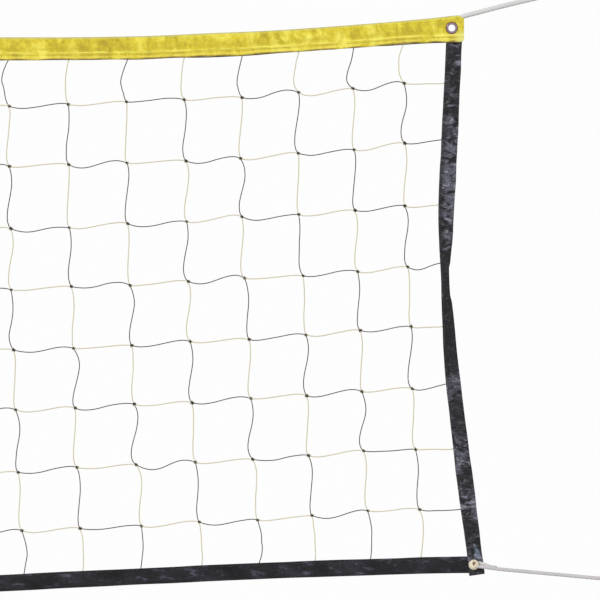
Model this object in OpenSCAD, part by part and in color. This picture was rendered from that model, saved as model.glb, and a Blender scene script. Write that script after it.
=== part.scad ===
// Recreational volleyball net: knotted twine netting edged with folded bands,
// a headline rope in the top sleeve, tie ropes at the lower corners and eyelets in all four.
// X runs along the net, Y through it with the front at -Y, and Z is up.
// The origin is the crown of the right headline eye, where a post's hook carries the net.

/* [Net] */
// Length of the top band from end to end
net_l = 9750; // [6000:50:12000]
// Height at the ends, from the top band's upper edge to the bottom band's lower edge
net_h = 914; // [700:1:1200]
// Diameter of the netting twine
twine_d = 2; // [1.6:0.1:3]
// Mesh of the netting as this solid has it, coarser than the 101.6 mm of the knotted twine
mesh_pitch = 170; // [168:1:300]
// Size of the slanted knot that fills two corners of each crossing
knot_size = 5; // [2:0.5:10]

/* [Bands] */
// Thickness of the coated fabric that the bands are folded from
leaf_t = 0.6; // [0.4:0.1:1]
// Width of the top sleeve from fold to hem
top_w = 38; // [34:1:50]
// Width of the top sleeve at its two ends
top_end_w = 45; // [42:1:60]
// Length over which the sleeve widens to its ends
top_flare_l = 150; // [100:10:400]
// Radius of the lower corner at the sleeve's ends
corner_r = 6; // [3:0.5:7]
// Length of the slanted cut in the sleeve's upper corner, through which the headline comes out
mouth_l = 12; // [9:0.5:20]
// Depth of that cut at the sleeve's end
mouth_h = 6.5; // [5:0.5:9]
// Width of the sewn hem along the sleeve's lower edge
hem_w = 8; // [7.5:0.5:12]
// Width of the folded bottom band
bottom_w = 27; // [24:1:40]
// Width of the folded side bands
side_w = 26; // [24:1:40]
// Width of a side band at its waist, where it rolls up narrow
waist_w = 14; // [10:1:24]
// Length of side band tucked into the top sleeve
tuck = 10; // [5:1:14]
// Length of side band that hangs past the bottom band
overhang = 5; // [0:1:20]

/* [Hang] */
// How far the top band's middle hangs below its ends
top_sag = 37; // [0:1:80]
// Length over which the top band levels out from an end
top_sag_l = 700; // [400:50:1500]
// How far the bottom band's middle hangs below its ends
bottom_sag = 50; // [0:1:100]
// Length over which the bottom band levels out from an end
bottom_sag_l = 1300; // [800:50:2500]
// Inset of a side band's middle line from the sleeve's end, at the top
side_inset = 17; // [14:1:40]
// Slope of a side band above its waist, in millimetres over its whole height
lean_in = 40; // [0:1:80]
// Slope of a side band below its waist, in millimetres over its whole height
lean_out = 108; // [0:1:160]
// Height of the waist, as a share of the side band measured down from the sleeve
waist_at = 0.47; // [0.3:0.01:0.7]

/* [Eyelets] */
// Radius of the hole through an eyelet
eyelet_bore_r = 5.7; // [3:0.1:6]
// Outer radius of an eyelet's rim
eyelet_r = 8.7; // [8.2:0.1:12]
// Wall of the eyelet's barrel
barrel_t = 0.5; // [0.3:0.1:1]
// Thickness of the eyelet's rim
rim_t = 1.2; // [0.8:0.1:2]
// Outer radius of the washer behind an eyelet
washer_r = 8.6; // [7.5:0.1:11]
// Thickness of that washer
washer_t = 0.8; // [0.5:0.1:1.5]
// Distance of a top eyelet from the sleeve's end
eyelet_in = 20; // [15:1:28]
// Distance of a top eyelet below the sleeve's upper edge
eyelet_down = 22; // [21:0.5:24]

/* [Ropes] */
// Diameter of the headline
headline_d = 8; // [5:0.5:9]
// Diameter of the lower ropes
low_rope_d = 6; // [4:0.5:7]
// Turns of rope in an end knot
knot_turns = 3; // [2:1:5]
// Thickness of an end knot, in rope diameters
knot_swell = 2.5; // [2.3:0.1:3.5]
// Distance from the end knot to the crown of a headline eye
top_eye_l = 64; // [54:1:100]
// Radius of a headline eye's crown, to the middle of the rope
top_eye_r = 15; // [12:0.5:20]
// Distance from the end knot to the crown of a lower rope's eye
low_eye_l = 50; // [42:1:80]
// Radius of a lower eye's crown, to the middle of the rope
low_eye_r = 12; // [9:0.5:16]
// Diameter of the knot that ties a lower rope to its eyelet
tie_d = 17; // [15:0.5:22]
// Length of that knot
tie_l = 14; // [12:0.5:20]

/* [Fit] */
// Clearance between nested pieces
clear = 0.3; // [0.1:0.05:0.5]

/* [Hidden] */

// Routes of the free ropes, across and up from where each one starts
top_route = [[0, 0], [7, 2], [14, 3.8], [26, 6.8], [59, 15.5], [92, 23.4], [126, 31.4], [160, 39.4]];
bottom_route = [[0, 0], [17, -2.3], [37, -5], [70, -8], [110, -11.7], [150, -15.4], [200, -20]];

// Gaps between the two leaves of a fold, from what lies in each
hem_gap = twine_d + 2 * clear;
band_t = hem_gap + 2 * leaf_t;
sleeve_gap = headline_d + 2 * clear;
sleeve_t = sleeve_gap + 2 * leaf_t;
cover_gap = band_t + 2 * clear;
cover_t = cover_gap + 2 * leaf_t;
// At its ends the sleeve lies flat round the side band up to here, below the headline
throat_l = eyelet_down - eyelet_r - clear;

// How far the headline rises within the sleeve's cut corner
mouth_rise = 2.4;
// The twine's edge lines run this far inside the open edge of each band
border_in = 2.2;
// Length at the sleeve's ends where it covers a side band, and the length over which it becomes a hem
parallel_l = 45;
closing_l = 55;
// Softness of a side band's bend at the waist, the length of its narrow stretch, and how far
// the middle of that stretch lies above the bend, as shares of the band
bend_share = 0.1;
narrow_share = 0.1;
narrow_up = 0.02;
// Length over which a side band opens to cover the bottom band, whose end stops short of its fold
opening_l = 30;
end_gap = 2;
// Length of the cutter for an eyelet's hole, longer than any stack of fabric
cutter_l = 40;
// How far a tie knot settles into its eyelet's mouth, and how far its loop stands off the washer behind
knot_seat = 1.1;
loop_slack = 2;
// Steps round the sleeve's corner, along the curved ends of the long bands, along a side band,
// over its opening, and round a fold
corner_steps = 3;
top_steps = 9;
bottom_steps = 11;
side_steps = 22;
opening_steps = 3;
fold_steps = 6;
// Sides of the short and the long ropes, of a knot and of an eyelet and its rounded edges
rope_sides = 8;
long_rope_sides = 6;
knot_sides = 32;
eyelet_sides = 64;
edge_sides = 24;

// Eyes and knots lie along each rope's last stretch
function last(list) = list[len(list) - 1];
function heading(route) = let (v = last(route) - route[len(route) - 2]) atan2(v[1], v[0]);
function turned(v, angle) = [v[0] * cos(angle) - v[1] * sin(angle), v[0] * sin(angle) + v[1] * cos(angle)];
function knot_l(d) = knot_turns * d;
function tip_l(d, eye_l) = knot_l(d) + eye_l;
top_angle = heading(top_route);
bottom_angle = heading(bottom_route);

// The sleeve's right end and the headline's height there, from the origin in the eye's crown
top_start = -last(top_route) - turned([tip_l(headline_d, top_eye_l), 0], top_angle);
right_x = top_start[0];
top_end_z = top_start[1] + sleeve_t / 2 - mouth_rise;
bottom_end_z = top_end_z - net_h;
middle_x = right_x - net_l / 2;

// Hang of the two long bands at a distance from the nearer end
function ease(t) = let (u = max(0, min(1, t))) u * u * (3 - 2 * u);
function from_end(x) = net_l / 2 - abs(x - middle_x);
function top_z(x) = top_end_z - top_sag * (1 - pow(1 - max(0, min(1, from_end(x) / top_sag_l)), 2));
function bottom_z(x) = let (t = min(1, from_end(x) / bottom_sag_l))
    bottom_end_z - bottom_sag * (ease(t) + max(0, t)) / 2;
function top_w_at(x) = top_w + (top_end_w - top_w) * pow(max(0, 1 - from_end(x) / top_flare_l), 2);

// A side band runs from inside the sleeve to past the bottom band, with share 0 at the sleeve's hem
hem_z = top_end_z - top_end_w;
side_top_z = hem_z + tuck;
side_bottom_z = bottom_end_z - overhang;
side_l = hem_z - side_bottom_z;
function side_share(z) = (hem_z - z) / side_l;
function bow(s) = let (d = s - waist_at)
    (lean_out - lean_in) / 2 * d + (lean_out + lean_in) / 2 * sqrt(d * d + bend_share * bend_share);
function side_x(z) = right_x - side_inset - bow(0) + bow(side_share(z));
function side_w_at(z) = side_w
    - (side_w - waist_w) * exp(-pow((side_share(z) - waist_at + narrow_up) / narrow_share, 2));

// Where the eyelets sit
top_eyelet = [right_x - eyelet_in, top_end_z - eyelet_down];
bottom_eyelet_z = bottom_end_z + bottom_w / 2;
barrel_r = eyelet_bore_r + barrel_t;
bottom_eyelet = [side_x(bottom_eyelet_z) + barrel_r + clear - side_w / 2 + border_in + twine_d / 2,
    bottom_eyelet_z];
bottom_right_x = side_x(bottom_eyelet_z) + side_w / 2 - cover_t / 2 - end_gap;

// Netting: nodes in columns and rows between the edge lines
function edge_x(z) = side_x(z) - side_w_at(z) / 2 + border_in;
open_h = net_h - top_end_w - bottom_w;
rows = round(open_h / mesh_pitch);
cols = round((net_l - 2 * side_inset) / mesh_pitch);
function lerp(a, b, t) = a + (b - a) * t;
function row_z(x, j) =
    lerp(bottom_z(x) + bottom_w - border_in, top_z(x) - top_w_at(x) + border_in, j / rows);
function straight_edge_x(j) = let (top = edge_x(hem_z), low = edge_x(bottom_end_z + bottom_w))
    lerp(low, top, j / rows);
function border_x(j) = edge_x(row_z(right_x, j));
function net_x(i, j) =
    i == 0 ? border_x(j) :
    i == cols ? 2 * middle_x - border_x(j) :
    lerp(straight_edge_x(j), 2 * middle_x - straight_edge_x(j), i / cols);
function net_point(i, j) = let (x = net_x(i, j)) [x, row_z(x, j)];

module mirrored() {
    translate([2 * middle_x, 0, 0]) mirror([1, 0, 0]) children();
}

// Turns a drawing in X and Z into a plate centred on the net's plane
module plate(thickness) {
    translate([0, thickness / 2, 0]) rotate([90, 0, 0]) linear_extrude(thickness) children();
}

module mesh_gap(i, j) {
    r = twine_d / 2;
    a = net_point(i, j) + [-r, r];
    b = net_point(i + 1, j) + [r, r];
    c = net_point(i + 1, j + 1) + [r, -r];
    d = net_point(i, j + 1) + [-r, -r];
    polygon([a, b + [knot_size, 0], b + [0, knot_size], c, d + [-knot_size, 0], d + [0, -knot_size]]);
}

module net_mesh() {
    r = twine_d / 2;
    outline = concat(
        [for (i = [0:cols]) net_point(i, 0) + [0, -r]],
        [for (j = [0:rows]) net_point(cols, j) + [-r, 0]],
        [for (i = [cols:-1:0]) net_point(i, rows) + [0, r]],
        [for (j = [rows:-1:0]) net_point(0, j) + [r, 0]]
    );
    color([0.45, 0.42, 0.35]) plate(twine_d) difference() {
        polygon(outline);
        for (i = [0:cols - 1])
            for (j = [0:rows - 1]) mesh_gap(i, j);
    }
}

// Section of a folded tape as [across, along], open at 0 and folded at w, with leaves hem apart from the
// open edge up to flat and fold apart at the fold; off is 0 inside and the leaf's thickness outside
function fold_line(hem, fold, w, off, flat, lift) = let (
    r = fold / 2 + off,
    turn = w - fold / 2 - leaf_t,
    side = [[hem / 2 + off, lift], [hem / 2 + off, flat], [r, turn]]
) concat(
    [for (k = [0:2]) [-side[k][0], side[k][1]]],
    [for (k = [1:fold_steps - 1]) [-r * cos(180 * k / fold_steps), turn + r * sin(180 * k / fold_steps)]],
    [for (k = [2:-1:0]) side[k]]
);
function fold_ring(hem, fold, w, flat = hem_w, lift = 0) = let (
    outer = fold_line(hem, fold, w, leaf_t, flat, lift),
    inner = fold_line(hem, fold, w, 0, flat, lift)
) concat(outer, [for (k = [len(inner) - 1:-1:0]) inner[k]]);

// Solid through a row of rings with the same number of points; a folded ring's ends close leaf by leaf
module loft(rings, folded) {
    n = len(rings[0]);
    m = len(rings);
    half = n / 2;
    points = [for (ring = rings) for (p = ring) p];
    skin = [for (i = [0:m - 2]) for (k = [0:n - 1])
        [i * n + k, i * n + (k + 1) % n, (i + 1) * n + (k + 1) % n, (i + 1) * n + k]];
    first = folded
        ? [for (k = [0:half - 2]) [k, n - 1 - k, n - 2 - k, k + 1]]
        : [[for (k = [n - 1:-1:0]) k]];
    final = [for (face = first) [for (k = [len(face) - 1:-1:0]) face[k] + (m - 1) * n]];
    polyhedron(points, concat(skin, first, final), convexity = 4);
}

// Distances from an end at which the top sleeve and the headline take a ring
sleeve_stops = concat(
    [for (k = [0:corner_steps]) corner_r * (1 - cos(90 * k / corner_steps))],
    [mouth_l],
    [for (k = [0:4]) parallel_l + closing_l * k / 4],
    [for (k = [1:top_steps]) lerp(parallel_l + closing_l, top_sag_l, k / top_steps)]
);
bottom_stops = concat([bottom_right_x > right_x ? right_x - bottom_right_x : -1, 0],
    [for (k = [1:bottom_steps]) bottom_sag_l * k / bottom_steps]);
function both_ends(stops) = concat(
    [for (e = stops) right_x - e],
    [for (k = [len(stops) - 1:-1:0]) right_x - net_l + stops[k]]
);

// Below the rounded corner at its ends the sleeve's open edge is lifted by this much
function corner_lift(e) = e >= corner_r ? 0 : corner_r - sqrt(corner_r * corner_r - pow(corner_r - e, 2));

function sleeve_ring(x) = let (
    e = from_end(x),
    closed = ease((e - parallel_l) / closing_l),
    hem = lerp(cover_gap, hem_gap, closed),
    w = top_w_at(x),
    flat = lerp(w - throat_l, hem_w, closed),
    base = top_z(x) - w
) [for (p = fold_ring(hem, sleeve_gap, w, flat, corner_lift(max(0, e)))) [x, p[0], base + p[1]]];

// Cuts the upper corner off the sleeve's end, and the hole for its eyelet
module sleeve_cuts() {
    eyelet_hole(top_eyelet);
    plate(cutter_l) polygon([
        [right_x - mouth_l, top_end_z],
        [right_x - mouth_l, top_end_z + clear],
        [right_x + clear, top_end_z + clear],
        [right_x + clear, top_end_z - mouth_h],
        [right_x, top_end_z - mouth_h]
    ]);
}

module top_band() {
    rings = [for (x = both_ends(sleeve_stops)) sleeve_ring(x)];
    color([0.84, 0.76, 0.2]) difference() {
        loft(rings, true);
        sleeve_cuts();
        mirrored() sleeve_cuts();
    }
}

function bottom_ring(x) = let (top = bottom_z(x) + bottom_w)
    [for (p = fold_ring(hem_gap, hem_gap, bottom_w)) [x, -p[0], top - p[1]]];

module bottom_band() {
    rings = [for (x = both_ends(bottom_stops)) bottom_ring(x)];
    color([0.12, 0.12, 0.14]) difference() {
        loft(rings, true);
        eyelet_hole(bottom_eyelet);
        mirrored() eyelet_hole(bottom_eyelet);
    }
}

// A side band's leaves part to take the bottom band between them
cover_top_z = bottom_end_z + bottom_w;
side_stops = concat([side_top_z],
    [for (k = [0:side_steps]) lerp(hem_z, cover_top_z + clear + opening_l, k / side_steps)],
    [for (k = [1:opening_steps]) cover_top_z + clear + opening_l * (1 - k / opening_steps)],
    [lerp(cover_top_z, side_bottom_z, 0.5), side_bottom_z]);

function side_ring(z) = let (
    gap = lerp(cover_gap, hem_gap, ease((z - cover_top_z - clear) / opening_l)),
    w = side_w_at(z),
    base = side_x(z) - w / 2
) [for (p = fold_ring(gap, gap, w)) [base + p[1], p[0], z]];

module side_band_right() {
    rings = [for (z = side_stops) side_ring(z)];
    color([0.13, 0.13, 0.15]) difference() {
        loft(rings, true);
        eyelet_hole(bottom_eyelet);
    }
}

module side_band_left() {
    mirrored() side_band_right();
}

// Tube of a rope along points; up is square to the plane that the points lie in
function unit(v) = v / norm(v);
function tangent(route, i) = unit(route[min(i + 1, len(route) - 1)] - route[max(i - 1, 0)]);
function rope_ring(route, i, up, sides, d) = let (
    along = tangent(route, i),
    across = unit(cross(along, up)),
    other = cross(across, along)
) [for (k = [0:sides - 1]) let (a = 360 * k / sides)
    route[i] + d / 2 * (cos(a) * across + sin(a) * other)];

module rope(route, up, d, sides = rope_sides) {
    color([0.82, 0.81, 0.8]) loft([for (i = [0:len(route) - 1]) rope_ring(route, i, up, sides, d)], false);
}

// The headline lies in the sleeve's fold and rises through the cut corners
function headline_z(x) =
    top_z(x) - sleeve_t / 2 + mouth_rise * pow(1 - min(1, max(0, from_end(x)) / mouth_l), 2);

module headline_rope() {
    route = [for (x = both_ends(sleeve_stops)) [x, 0, headline_z(x)]];
    rope(route, [0, 1, 0], headline_d, long_rope_sides);
}

module top_rope_right() {
    rope([for (p = top_route) [right_x + p[0], 0, top_start[1] + p[1]]], [0, 1, 0], headline_d);
}

module top_rope_left() {
    mirrored() top_rope_right();
}

// A knot's turns lie side by side round the rope
module end_knot(d) {
    color([0.8, 0.79, 0.77]) wound_knot(knot_l(d), knot_swell * d, knot_turns);
}

module wound_knot(length, diameter, turns) {
    turn_l = length / turns;
    steps = 6;
    bulge = turn_l / 2;
    profile = concat([[0, 0]],
        [for (t = [0:turns - 1]) for (k = [0:steps - 1])
            [diameter / 2 - bulge + bulge * sin(180 * k / steps), (t + k / steps) * turn_l]],
        [[diameter / 2 - bulge, length], [0, length]]);
    rotate([0, 90, 0]) rotate_extrude($fn = knot_sides) polygon(profile);
}

// Puts a piece drawn along X, ending at 0, on the rope's last stretch
module at_tip(angle) {
    rotate([0, -angle, 0]) children();
}

module top_knot_right() {
    at_tip(top_angle) translate([-tip_l(headline_d, top_eye_l), 0, 0]) end_knot(headline_d);
}

module top_knot_left() {
    mirrored() top_knot_right();
}

// An eye leaves its knot as two strands side by side and closes round the crown
strand_steps = 7;
crown_steps = 8;
straight_l = 2;
function eye_route(d, length, r) = let (
    strand_z = d / 2 + clear,
    crown_x = d / 2 - r,
    strand = [for (k = [0:strand_steps - 1]) let (t = k / strand_steps)
        [lerp(straight_l - length, crown_x, t), 0, lerp(strand_z, r, ease(t))]]
) concat(
    [[-length, 0, strand_z]], strand,
    [for (k = [0:crown_steps]) let (a = 90 - 180 * k / crown_steps) [crown_x + r * cos(a), 0, r * sin(a)]],
    [for (k = [strand_steps - 1:-1:0]) let (p = strand[k]) [p[0], 0, -p[2]]],
    [[-length, 0, -strand_z]]
);

module rope_eye(d, length, r) {
    rope(eye_route(d, length, r), [0, 1, 0], d);
}

module top_eye_right() {
    at_tip(top_angle) rope_eye(headline_d, top_eye_l, top_eye_r);
}

module top_eye_left() {
    mirrored() top_eye_right();
}

// The lower rope lies in front of the side band, where its knot holds it to the eyelet
front_y = -(cover_t / 2 + clear + rim_t + tie_d / 2 - knot_seat);
tie_drop = low_rope_d / 4;
bottom_start = bottom_eyelet + turned([tie_l / 2, -tie_drop], bottom_angle);
bottom_tip_l = tip_l(low_rope_d, low_eye_l);
bottom_tip = bottom_start + last(bottom_route) + turned([bottom_tip_l, 0], bottom_angle);

module bottom_rope_right() {
    route = [for (p = bottom_route) [bottom_start[0] + p[0], front_y, bottom_start[1] + p[1]]];
    rope(route, [0, 1, 0], low_rope_d);
}

module bottom_rope_left() {
    mirrored() bottom_rope_right();
}

module at_bottom_tip() {
    translate([bottom_tip[0], front_y, bottom_tip[1]]) at_tip(bottom_angle) children();
}

module bottom_knot_right() {
    at_bottom_tip() translate([-bottom_tip_l, 0, 0]) end_knot(low_rope_d);
}

module bottom_knot_left() {
    mirrored() bottom_knot_right();
}

module bottom_eye_right() {
    at_bottom_tip() rope_eye(low_rope_d, low_eye_l, low_eye_r);
}

module bottom_eye_left() {
    mirrored() bottom_eye_right();
}

module tie_knot_right() {
    color([0.9, 0.87, 0.78]) translate([bottom_eyelet[0], front_y, bottom_eyelet[1]])
        at_tip(bottom_angle) translate([-tie_l / 2, 0, 0]) wound_knot(tie_l, tie_d, 2);
}

module tie_knot_left() {
    mirrored() tie_knot_right();
}

// From the knot's back the loop goes through the eyelet and behind the side band, turns round its edge,
// and comes back to the knot's upper side, passing behind the lower rope on its way
back_y = cover_t / 2 + clear + washer_t + low_rope_d / 2 + loop_slack;
strand_y = front_y + low_rope_d + clear;
edge_turn_x = side_w + 3;
loop_bend = 5;
loop_rise = 3.4;
loop_forward = 2.8;
bend_steps = 4;
turn_steps = 8;
loop_route = let (
    mid_y = (back_y + strand_y) / 2,
    turn_r = (back_y - strand_y) / 2
) concat(
    [[0, front_y + tie_d / 2, 0], [0, -cover_t / 2, 0], [0, back_y - loop_bend, 0]],
    [for (k = [1:bend_steps]) let (a = 90 * k / bend_steps)
        [loop_bend * (1 - cos(a)), back_y - loop_bend * (1 - sin(a)), -tie_drop * k / bend_steps]],
    [for (k = [0:turn_steps]) let (a = 90 - 180 * k / turn_steps)
        [edge_turn_x + turn_r * cos(a), mid_y + turn_r * sin(a), -tie_drop]],
    [for (k = [1:bend_steps]) let (t = k / bend_steps)
        [lerp(edge_turn_x, tie_l / 2, t), strand_y - loop_forward * t * t,
            lerp(-tie_drop, loop_rise, sin(90 * t))]]
);

module tie_loop_right() {
    translate([bottom_eyelet[0], 0, bottom_eyelet[1]])
        rotate([0, -bottom_angle, 0]) rope(loop_route, [0, 0, 1], low_rope_d);
}

module tie_loop_left() {
    mirrored() tie_loop_right();
}

// Eyelet set in a stack of fabric of a given thickness, on the axis at [x, z]
module on_axis(place) {
    translate([place[0], 0, place[1]]) rotate([-90, 0, 0]) children();
}

module eyelet_hole(place) {
    on_axis(place) cylinder(h = cutter_l, r = barrel_r + clear, center = true, $fn = eyelet_sides);
}

// Rim in front, barrel through the stack, and the barrel's end curled out over the washer
module eyelet(place, stack) {
    front = -stack / 2 - clear - rim_t;
    back = stack / 2 + clear + washer_t + clear;
    curl_r = rim_t / 2;
    color([0.78, 0.77, 0.74]) on_axis(place) rotate_extrude($fn = eyelet_sides) {
        translate([eyelet_bore_r, front]) square([eyelet_r - eyelet_bore_r - rim_t / 2, rim_t]);
        translate([eyelet_r - rim_t / 2, front + rim_t / 2]) circle(r = rim_t / 2, $fn = edge_sides);
        translate([eyelet_bore_r, front]) square([barrel_t, back - front + curl_r]);
        translate([eyelet_bore_r, back]) square([2 * curl_r + barrel_t, curl_r]);
    }
}

module washer(place, stack) {
    color([0.74, 0.73, 0.7]) on_axis(place) translate([0, 0, stack / 2 + clear])
        rotate_extrude($fn = eyelet_sides) translate([barrel_r + clear, 0]) {
            square([washer_r - barrel_r - clear - washer_t / 2, washer_t]);
            translate([washer_r - barrel_r - clear - washer_t / 2, washer_t / 2])
                circle(r = washer_t / 2, $fn = edge_sides);
        }
}

module eyelet_top_right() {
    eyelet(top_eyelet, cover_t);
}

module eyelet_top_left() {
    mirrored() eyelet_top_right();
}

module eyelet_bottom_right() {
    eyelet(bottom_eyelet, cover_t);
}

module eyelet_bottom_left() {
    mirrored() eyelet_bottom_right();
}

module washer_top_right() {
    washer(top_eyelet, cover_t);
}

module washer_top_left() {
    mirrored() washer_top_right();
}

module washer_bottom_right() {
    washer(bottom_eyelet, cover_t);
}

module washer_bottom_left() {
    mirrored() washer_bottom_right();
}

net_mesh();
top_band();
bottom_band();
side_band_right();
side_band_left();
headline_rope();
top_rope_right();
top_rope_left();
top_knot_right();
top_knot_left();
top_eye_right();
top_eye_left();
bottom_rope_right();
bottom_rope_left();
bottom_knot_right();
bottom_knot_left();
bottom_eye_right();
bottom_eye_left();
tie_knot_right();
tie_knot_left();
tie_loop_right();
tie_loop_left();
eyelet_top_right();
eyelet_top_left();
eyelet_bottom_right();
eyelet_bottom_left();
washer_top_right();
washer_top_left();
washer_bottom_right();
washer_bottom_left();
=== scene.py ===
"""Looks of the volleyball net: knotted two-colour netting, folded tapes, ropes, seams and eyelets."""

import math

import bpy
import numpy as np
from mathutils import Matrix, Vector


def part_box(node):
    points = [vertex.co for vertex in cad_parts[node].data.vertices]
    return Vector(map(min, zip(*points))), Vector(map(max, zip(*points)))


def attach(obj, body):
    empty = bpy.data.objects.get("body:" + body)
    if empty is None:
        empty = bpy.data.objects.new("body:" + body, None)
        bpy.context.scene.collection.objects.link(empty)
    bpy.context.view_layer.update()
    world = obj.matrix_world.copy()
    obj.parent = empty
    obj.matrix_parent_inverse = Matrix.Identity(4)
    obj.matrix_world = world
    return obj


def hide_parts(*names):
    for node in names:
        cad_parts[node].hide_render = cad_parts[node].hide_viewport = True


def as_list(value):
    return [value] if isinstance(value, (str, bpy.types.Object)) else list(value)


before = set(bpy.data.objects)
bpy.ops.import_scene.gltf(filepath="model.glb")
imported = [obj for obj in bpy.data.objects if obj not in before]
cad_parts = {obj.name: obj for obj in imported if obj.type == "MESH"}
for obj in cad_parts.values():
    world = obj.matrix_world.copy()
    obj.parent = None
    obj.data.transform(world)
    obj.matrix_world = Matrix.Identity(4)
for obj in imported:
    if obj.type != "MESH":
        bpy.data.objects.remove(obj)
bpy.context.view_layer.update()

MM = 0.001
TURN = 2 * math.pi

# signs of Y for the net's front and its back
FACES = (-1, 1)


def centre(node):
    low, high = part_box(node)
    return np.array((low + high) / 2)


# ---------------------------------------------------------------- sizes, from the CAD solids

sleeve_low, sleeve_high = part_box("top_band")
RIGHT_X = sleeve_high.x
LEFT_X = sleeve_low.x
MIDDLE_X = (RIGHT_X + LEFT_X) / 2
HALF_L = (RIGHT_X - LEFT_X) / 2
SIDE_LOW_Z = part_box("side_band_right")[0].z
TAPE_RIGHT_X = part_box("bottom_band")[1].x
TOP_EYELET = centre("eyelet_top_right")
LOW_EYELET = centre("eyelet_bottom_right")
TIE = centre("tie_knot_right")

CLEAR = 0.3 * MM
LEAF_T = 0.6 * MM
HEADLINE_R = 4 * MM
LOW_ROPE_R = 3 * MM
EYELET_DOWN = 22 * MM
EYELET_R = 8.7 * MM
EYELET_HOLE_R = 6.5 * MM
WASHER_T = 0.8 * MM

TOP_END_Z = TOP_EYELET[2] + EYELET_DOWN
TOP_W = 38 * MM
TOP_END_W = 45 * MM
TOP_FLARE_L = 150 * MM
TOP_SAG = 37 * MM
TOP_SAG_L = 700 * MM
CORNER_R = 6 * MM
MOUTH_L = 12 * MM
MOUTH_H = 6.5 * MM
MOUTH_RISE = 2.4 * MM
HEM_W = 8 * MM
PARALLEL_L = 45 * MM
CLOSING_L = 55 * MM
BOTTOM_W = 27 * MM
BOTTOM_SAG = 50 * MM
BOTTOM_SAG_L = 1300 * MM
SIDE_W = 26 * MM
TUCK = 10 * MM
OVERHANG = 5 * MM
OPENING_L = 30 * MM

# gaps between the two leaves of a fold, from what lies in each
HEM_GAP = 2.6 * MM
SLEEVE_GAP = 2 * HEADLINE_R + 2 * CLEAR
SLEEVE_T = SLEEVE_GAP + 2 * LEAF_T
COVER_GAP = HEM_GAP + 2 * LEAF_T + 2 * CLEAR
COVER_T = COVER_GAP + 2 * LEAF_T
THROAT_L = EYELET_DOWN - EYELET_R - CLEAR

# seams, in millimetres from a tape's open edge, and how far their stitches stand off the cloth
UPPER_SEAM = 9.2
LOWER_SEAM = 5.4
SIDE_SEAM = 3.2
BOTTOM_SEAM = 3.4
STITCH_LIFT = 0.12 * MM

# the box of stitches at each end of the sleeve, and the orange seam above it
SEAM_IN = 2 * MM
BOX_UPRIGHT_IN = 8 * MM
BOX_L = 13 * MM
BOX_TOP = 16.5 * MM
BOX_HEIGHTS = np.linspace(3, 31, 15) * MM
ACCENT_DOWN = 11.3 * MM
ACCENT_IN = 3 * MM
ACCENT_L = 29 * MM

# share of the way down a side band, with its inner and outer edge from the sleeve's end in millimetres
SIDE_EDGES = np.array(
    [
        [0.00, -29.6, -3.4],
        [0.16, -36.0, -9.2],
        [0.33, -42.4, -16.6],
        [0.412, -39.4, -22.2],
        [0.424, -38.8, -24.6],
        [0.472, -37.0, -22.6],
        [0.488, -36.5, -19.4],
        [0.60, -32.6, -9.2],
        [0.72, -21.6, 3.6],
        [0.845, -9.2, 17.8],
        [0.92, 0.3, 25.8],
        [1.00, 8.3, 34.0],
    ]
)

# a knot's length and thickness in rope diameters, and the ropes' ends
KNOT_TURNS = 3
KNOT_SWELL = 2.5
TOP_EYE_L = 64 * MM
TOP_EYE_R = 15 * MM
LOW_EYE_L = 50 * MM
LOW_EYE_R = 12 * MM
TIE_D = 17 * MM
TIE_L = 14 * MM
TIE_DROP = LOW_ROPE_R / 2

# each rope's way out from its start, in millimetres along X and Z
TOP_ROUTE = [[0, 0], [7, 2], [14, 3.8], [26, 6.8], [59, 15.5], [92, 23.4], [126, 31.4], [160, 39.4]]
LOW_ROUTE = [[0, 0], [17, -2.3], [37, -5], [70, -8], [110, -11.7], [150, -15.4], [200, -20]]


def clamp(t):
    return np.clip(t, 0, 1)


def ease(t):
    t = clamp(t)
    return t * t * (3 - 2 * t)


def lerp(a, b, t):
    return a + (b - a) * t


def bump(t):
    """A smooth hill, 1 at 0 and nearly 0 from 2 on."""
    return np.exp(-t * t)


def smooth_through(at, knots, values):
    """A smooth curve through values at the knots, that turns only where they do."""
    gap = np.diff(knots)
    rise = np.diff(values) / gap
    both = rise[1:] * rise[:-1]
    inner = np.where(both > 0, 2 * both / np.where(both > 0, rise[1:] + rise[:-1], 1), 0)
    slope = np.concatenate([rise[:1], inner, rise[-1:]])
    k = np.clip(np.searchsorted(knots, at) - 1, 0, len(gap) - 1)
    t = clamp((at - knots[k]) / gap[k])
    bend = t * (1 - t) * gap[k] * (slope[k] * (1 - t) - slope[k + 1] * t)
    return lerp(values[k], values[k + 1], ease(t)) + bend


def from_end(x):
    return HALF_L - np.abs(x - MIDDLE_X)


def top_z(x):
    return TOP_END_Z - TOP_SAG * (1 - (1 - clamp(from_end(x) / TOP_SAG_L)) ** 2)


def top_w_at(x):
    return TOP_W + (TOP_END_W - TOP_W) * np.maximum(0, 1 - from_end(x) / TOP_FLARE_L) ** 2


def hem_z_at(x):
    return top_z(x) - top_w_at(x)


def headline_z(x):
    """The headline lies in the sleeve's fold and rises through the cut corners."""
    return top_z(x) - SLEEVE_T / 2 + MOUTH_RISE * (1 - clamp(from_end(x) / MOUTH_L)) ** 2


def on_headline(x):
    return np.stack([x, 0 * x, headline_z(x)], 1)


HEM_Z = TOP_END_Z - TOP_END_W
SIDE_L = HEM_Z - SIDE_LOW_Z
TAPE_END_Z = SIDE_LOW_Z + OVERHANG


def bottom_z(x):
    t = clamp(from_end(x) / BOTTOM_SAG_L)
    return TAPE_END_Z - BOTTOM_SAG * (ease(t) + t) / 2


def side_share(z):
    return (HEM_Z - z) / SIDE_L


def side_edges(z):
    """The right side band's inner and outer edges at a height."""
    share = side_share(z)
    return [RIGHT_X + smooth_through(share, SIDE_EDGES[:, 0], SIDE_EDGES[:, k]) * MM for k in (1, 2)]


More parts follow.
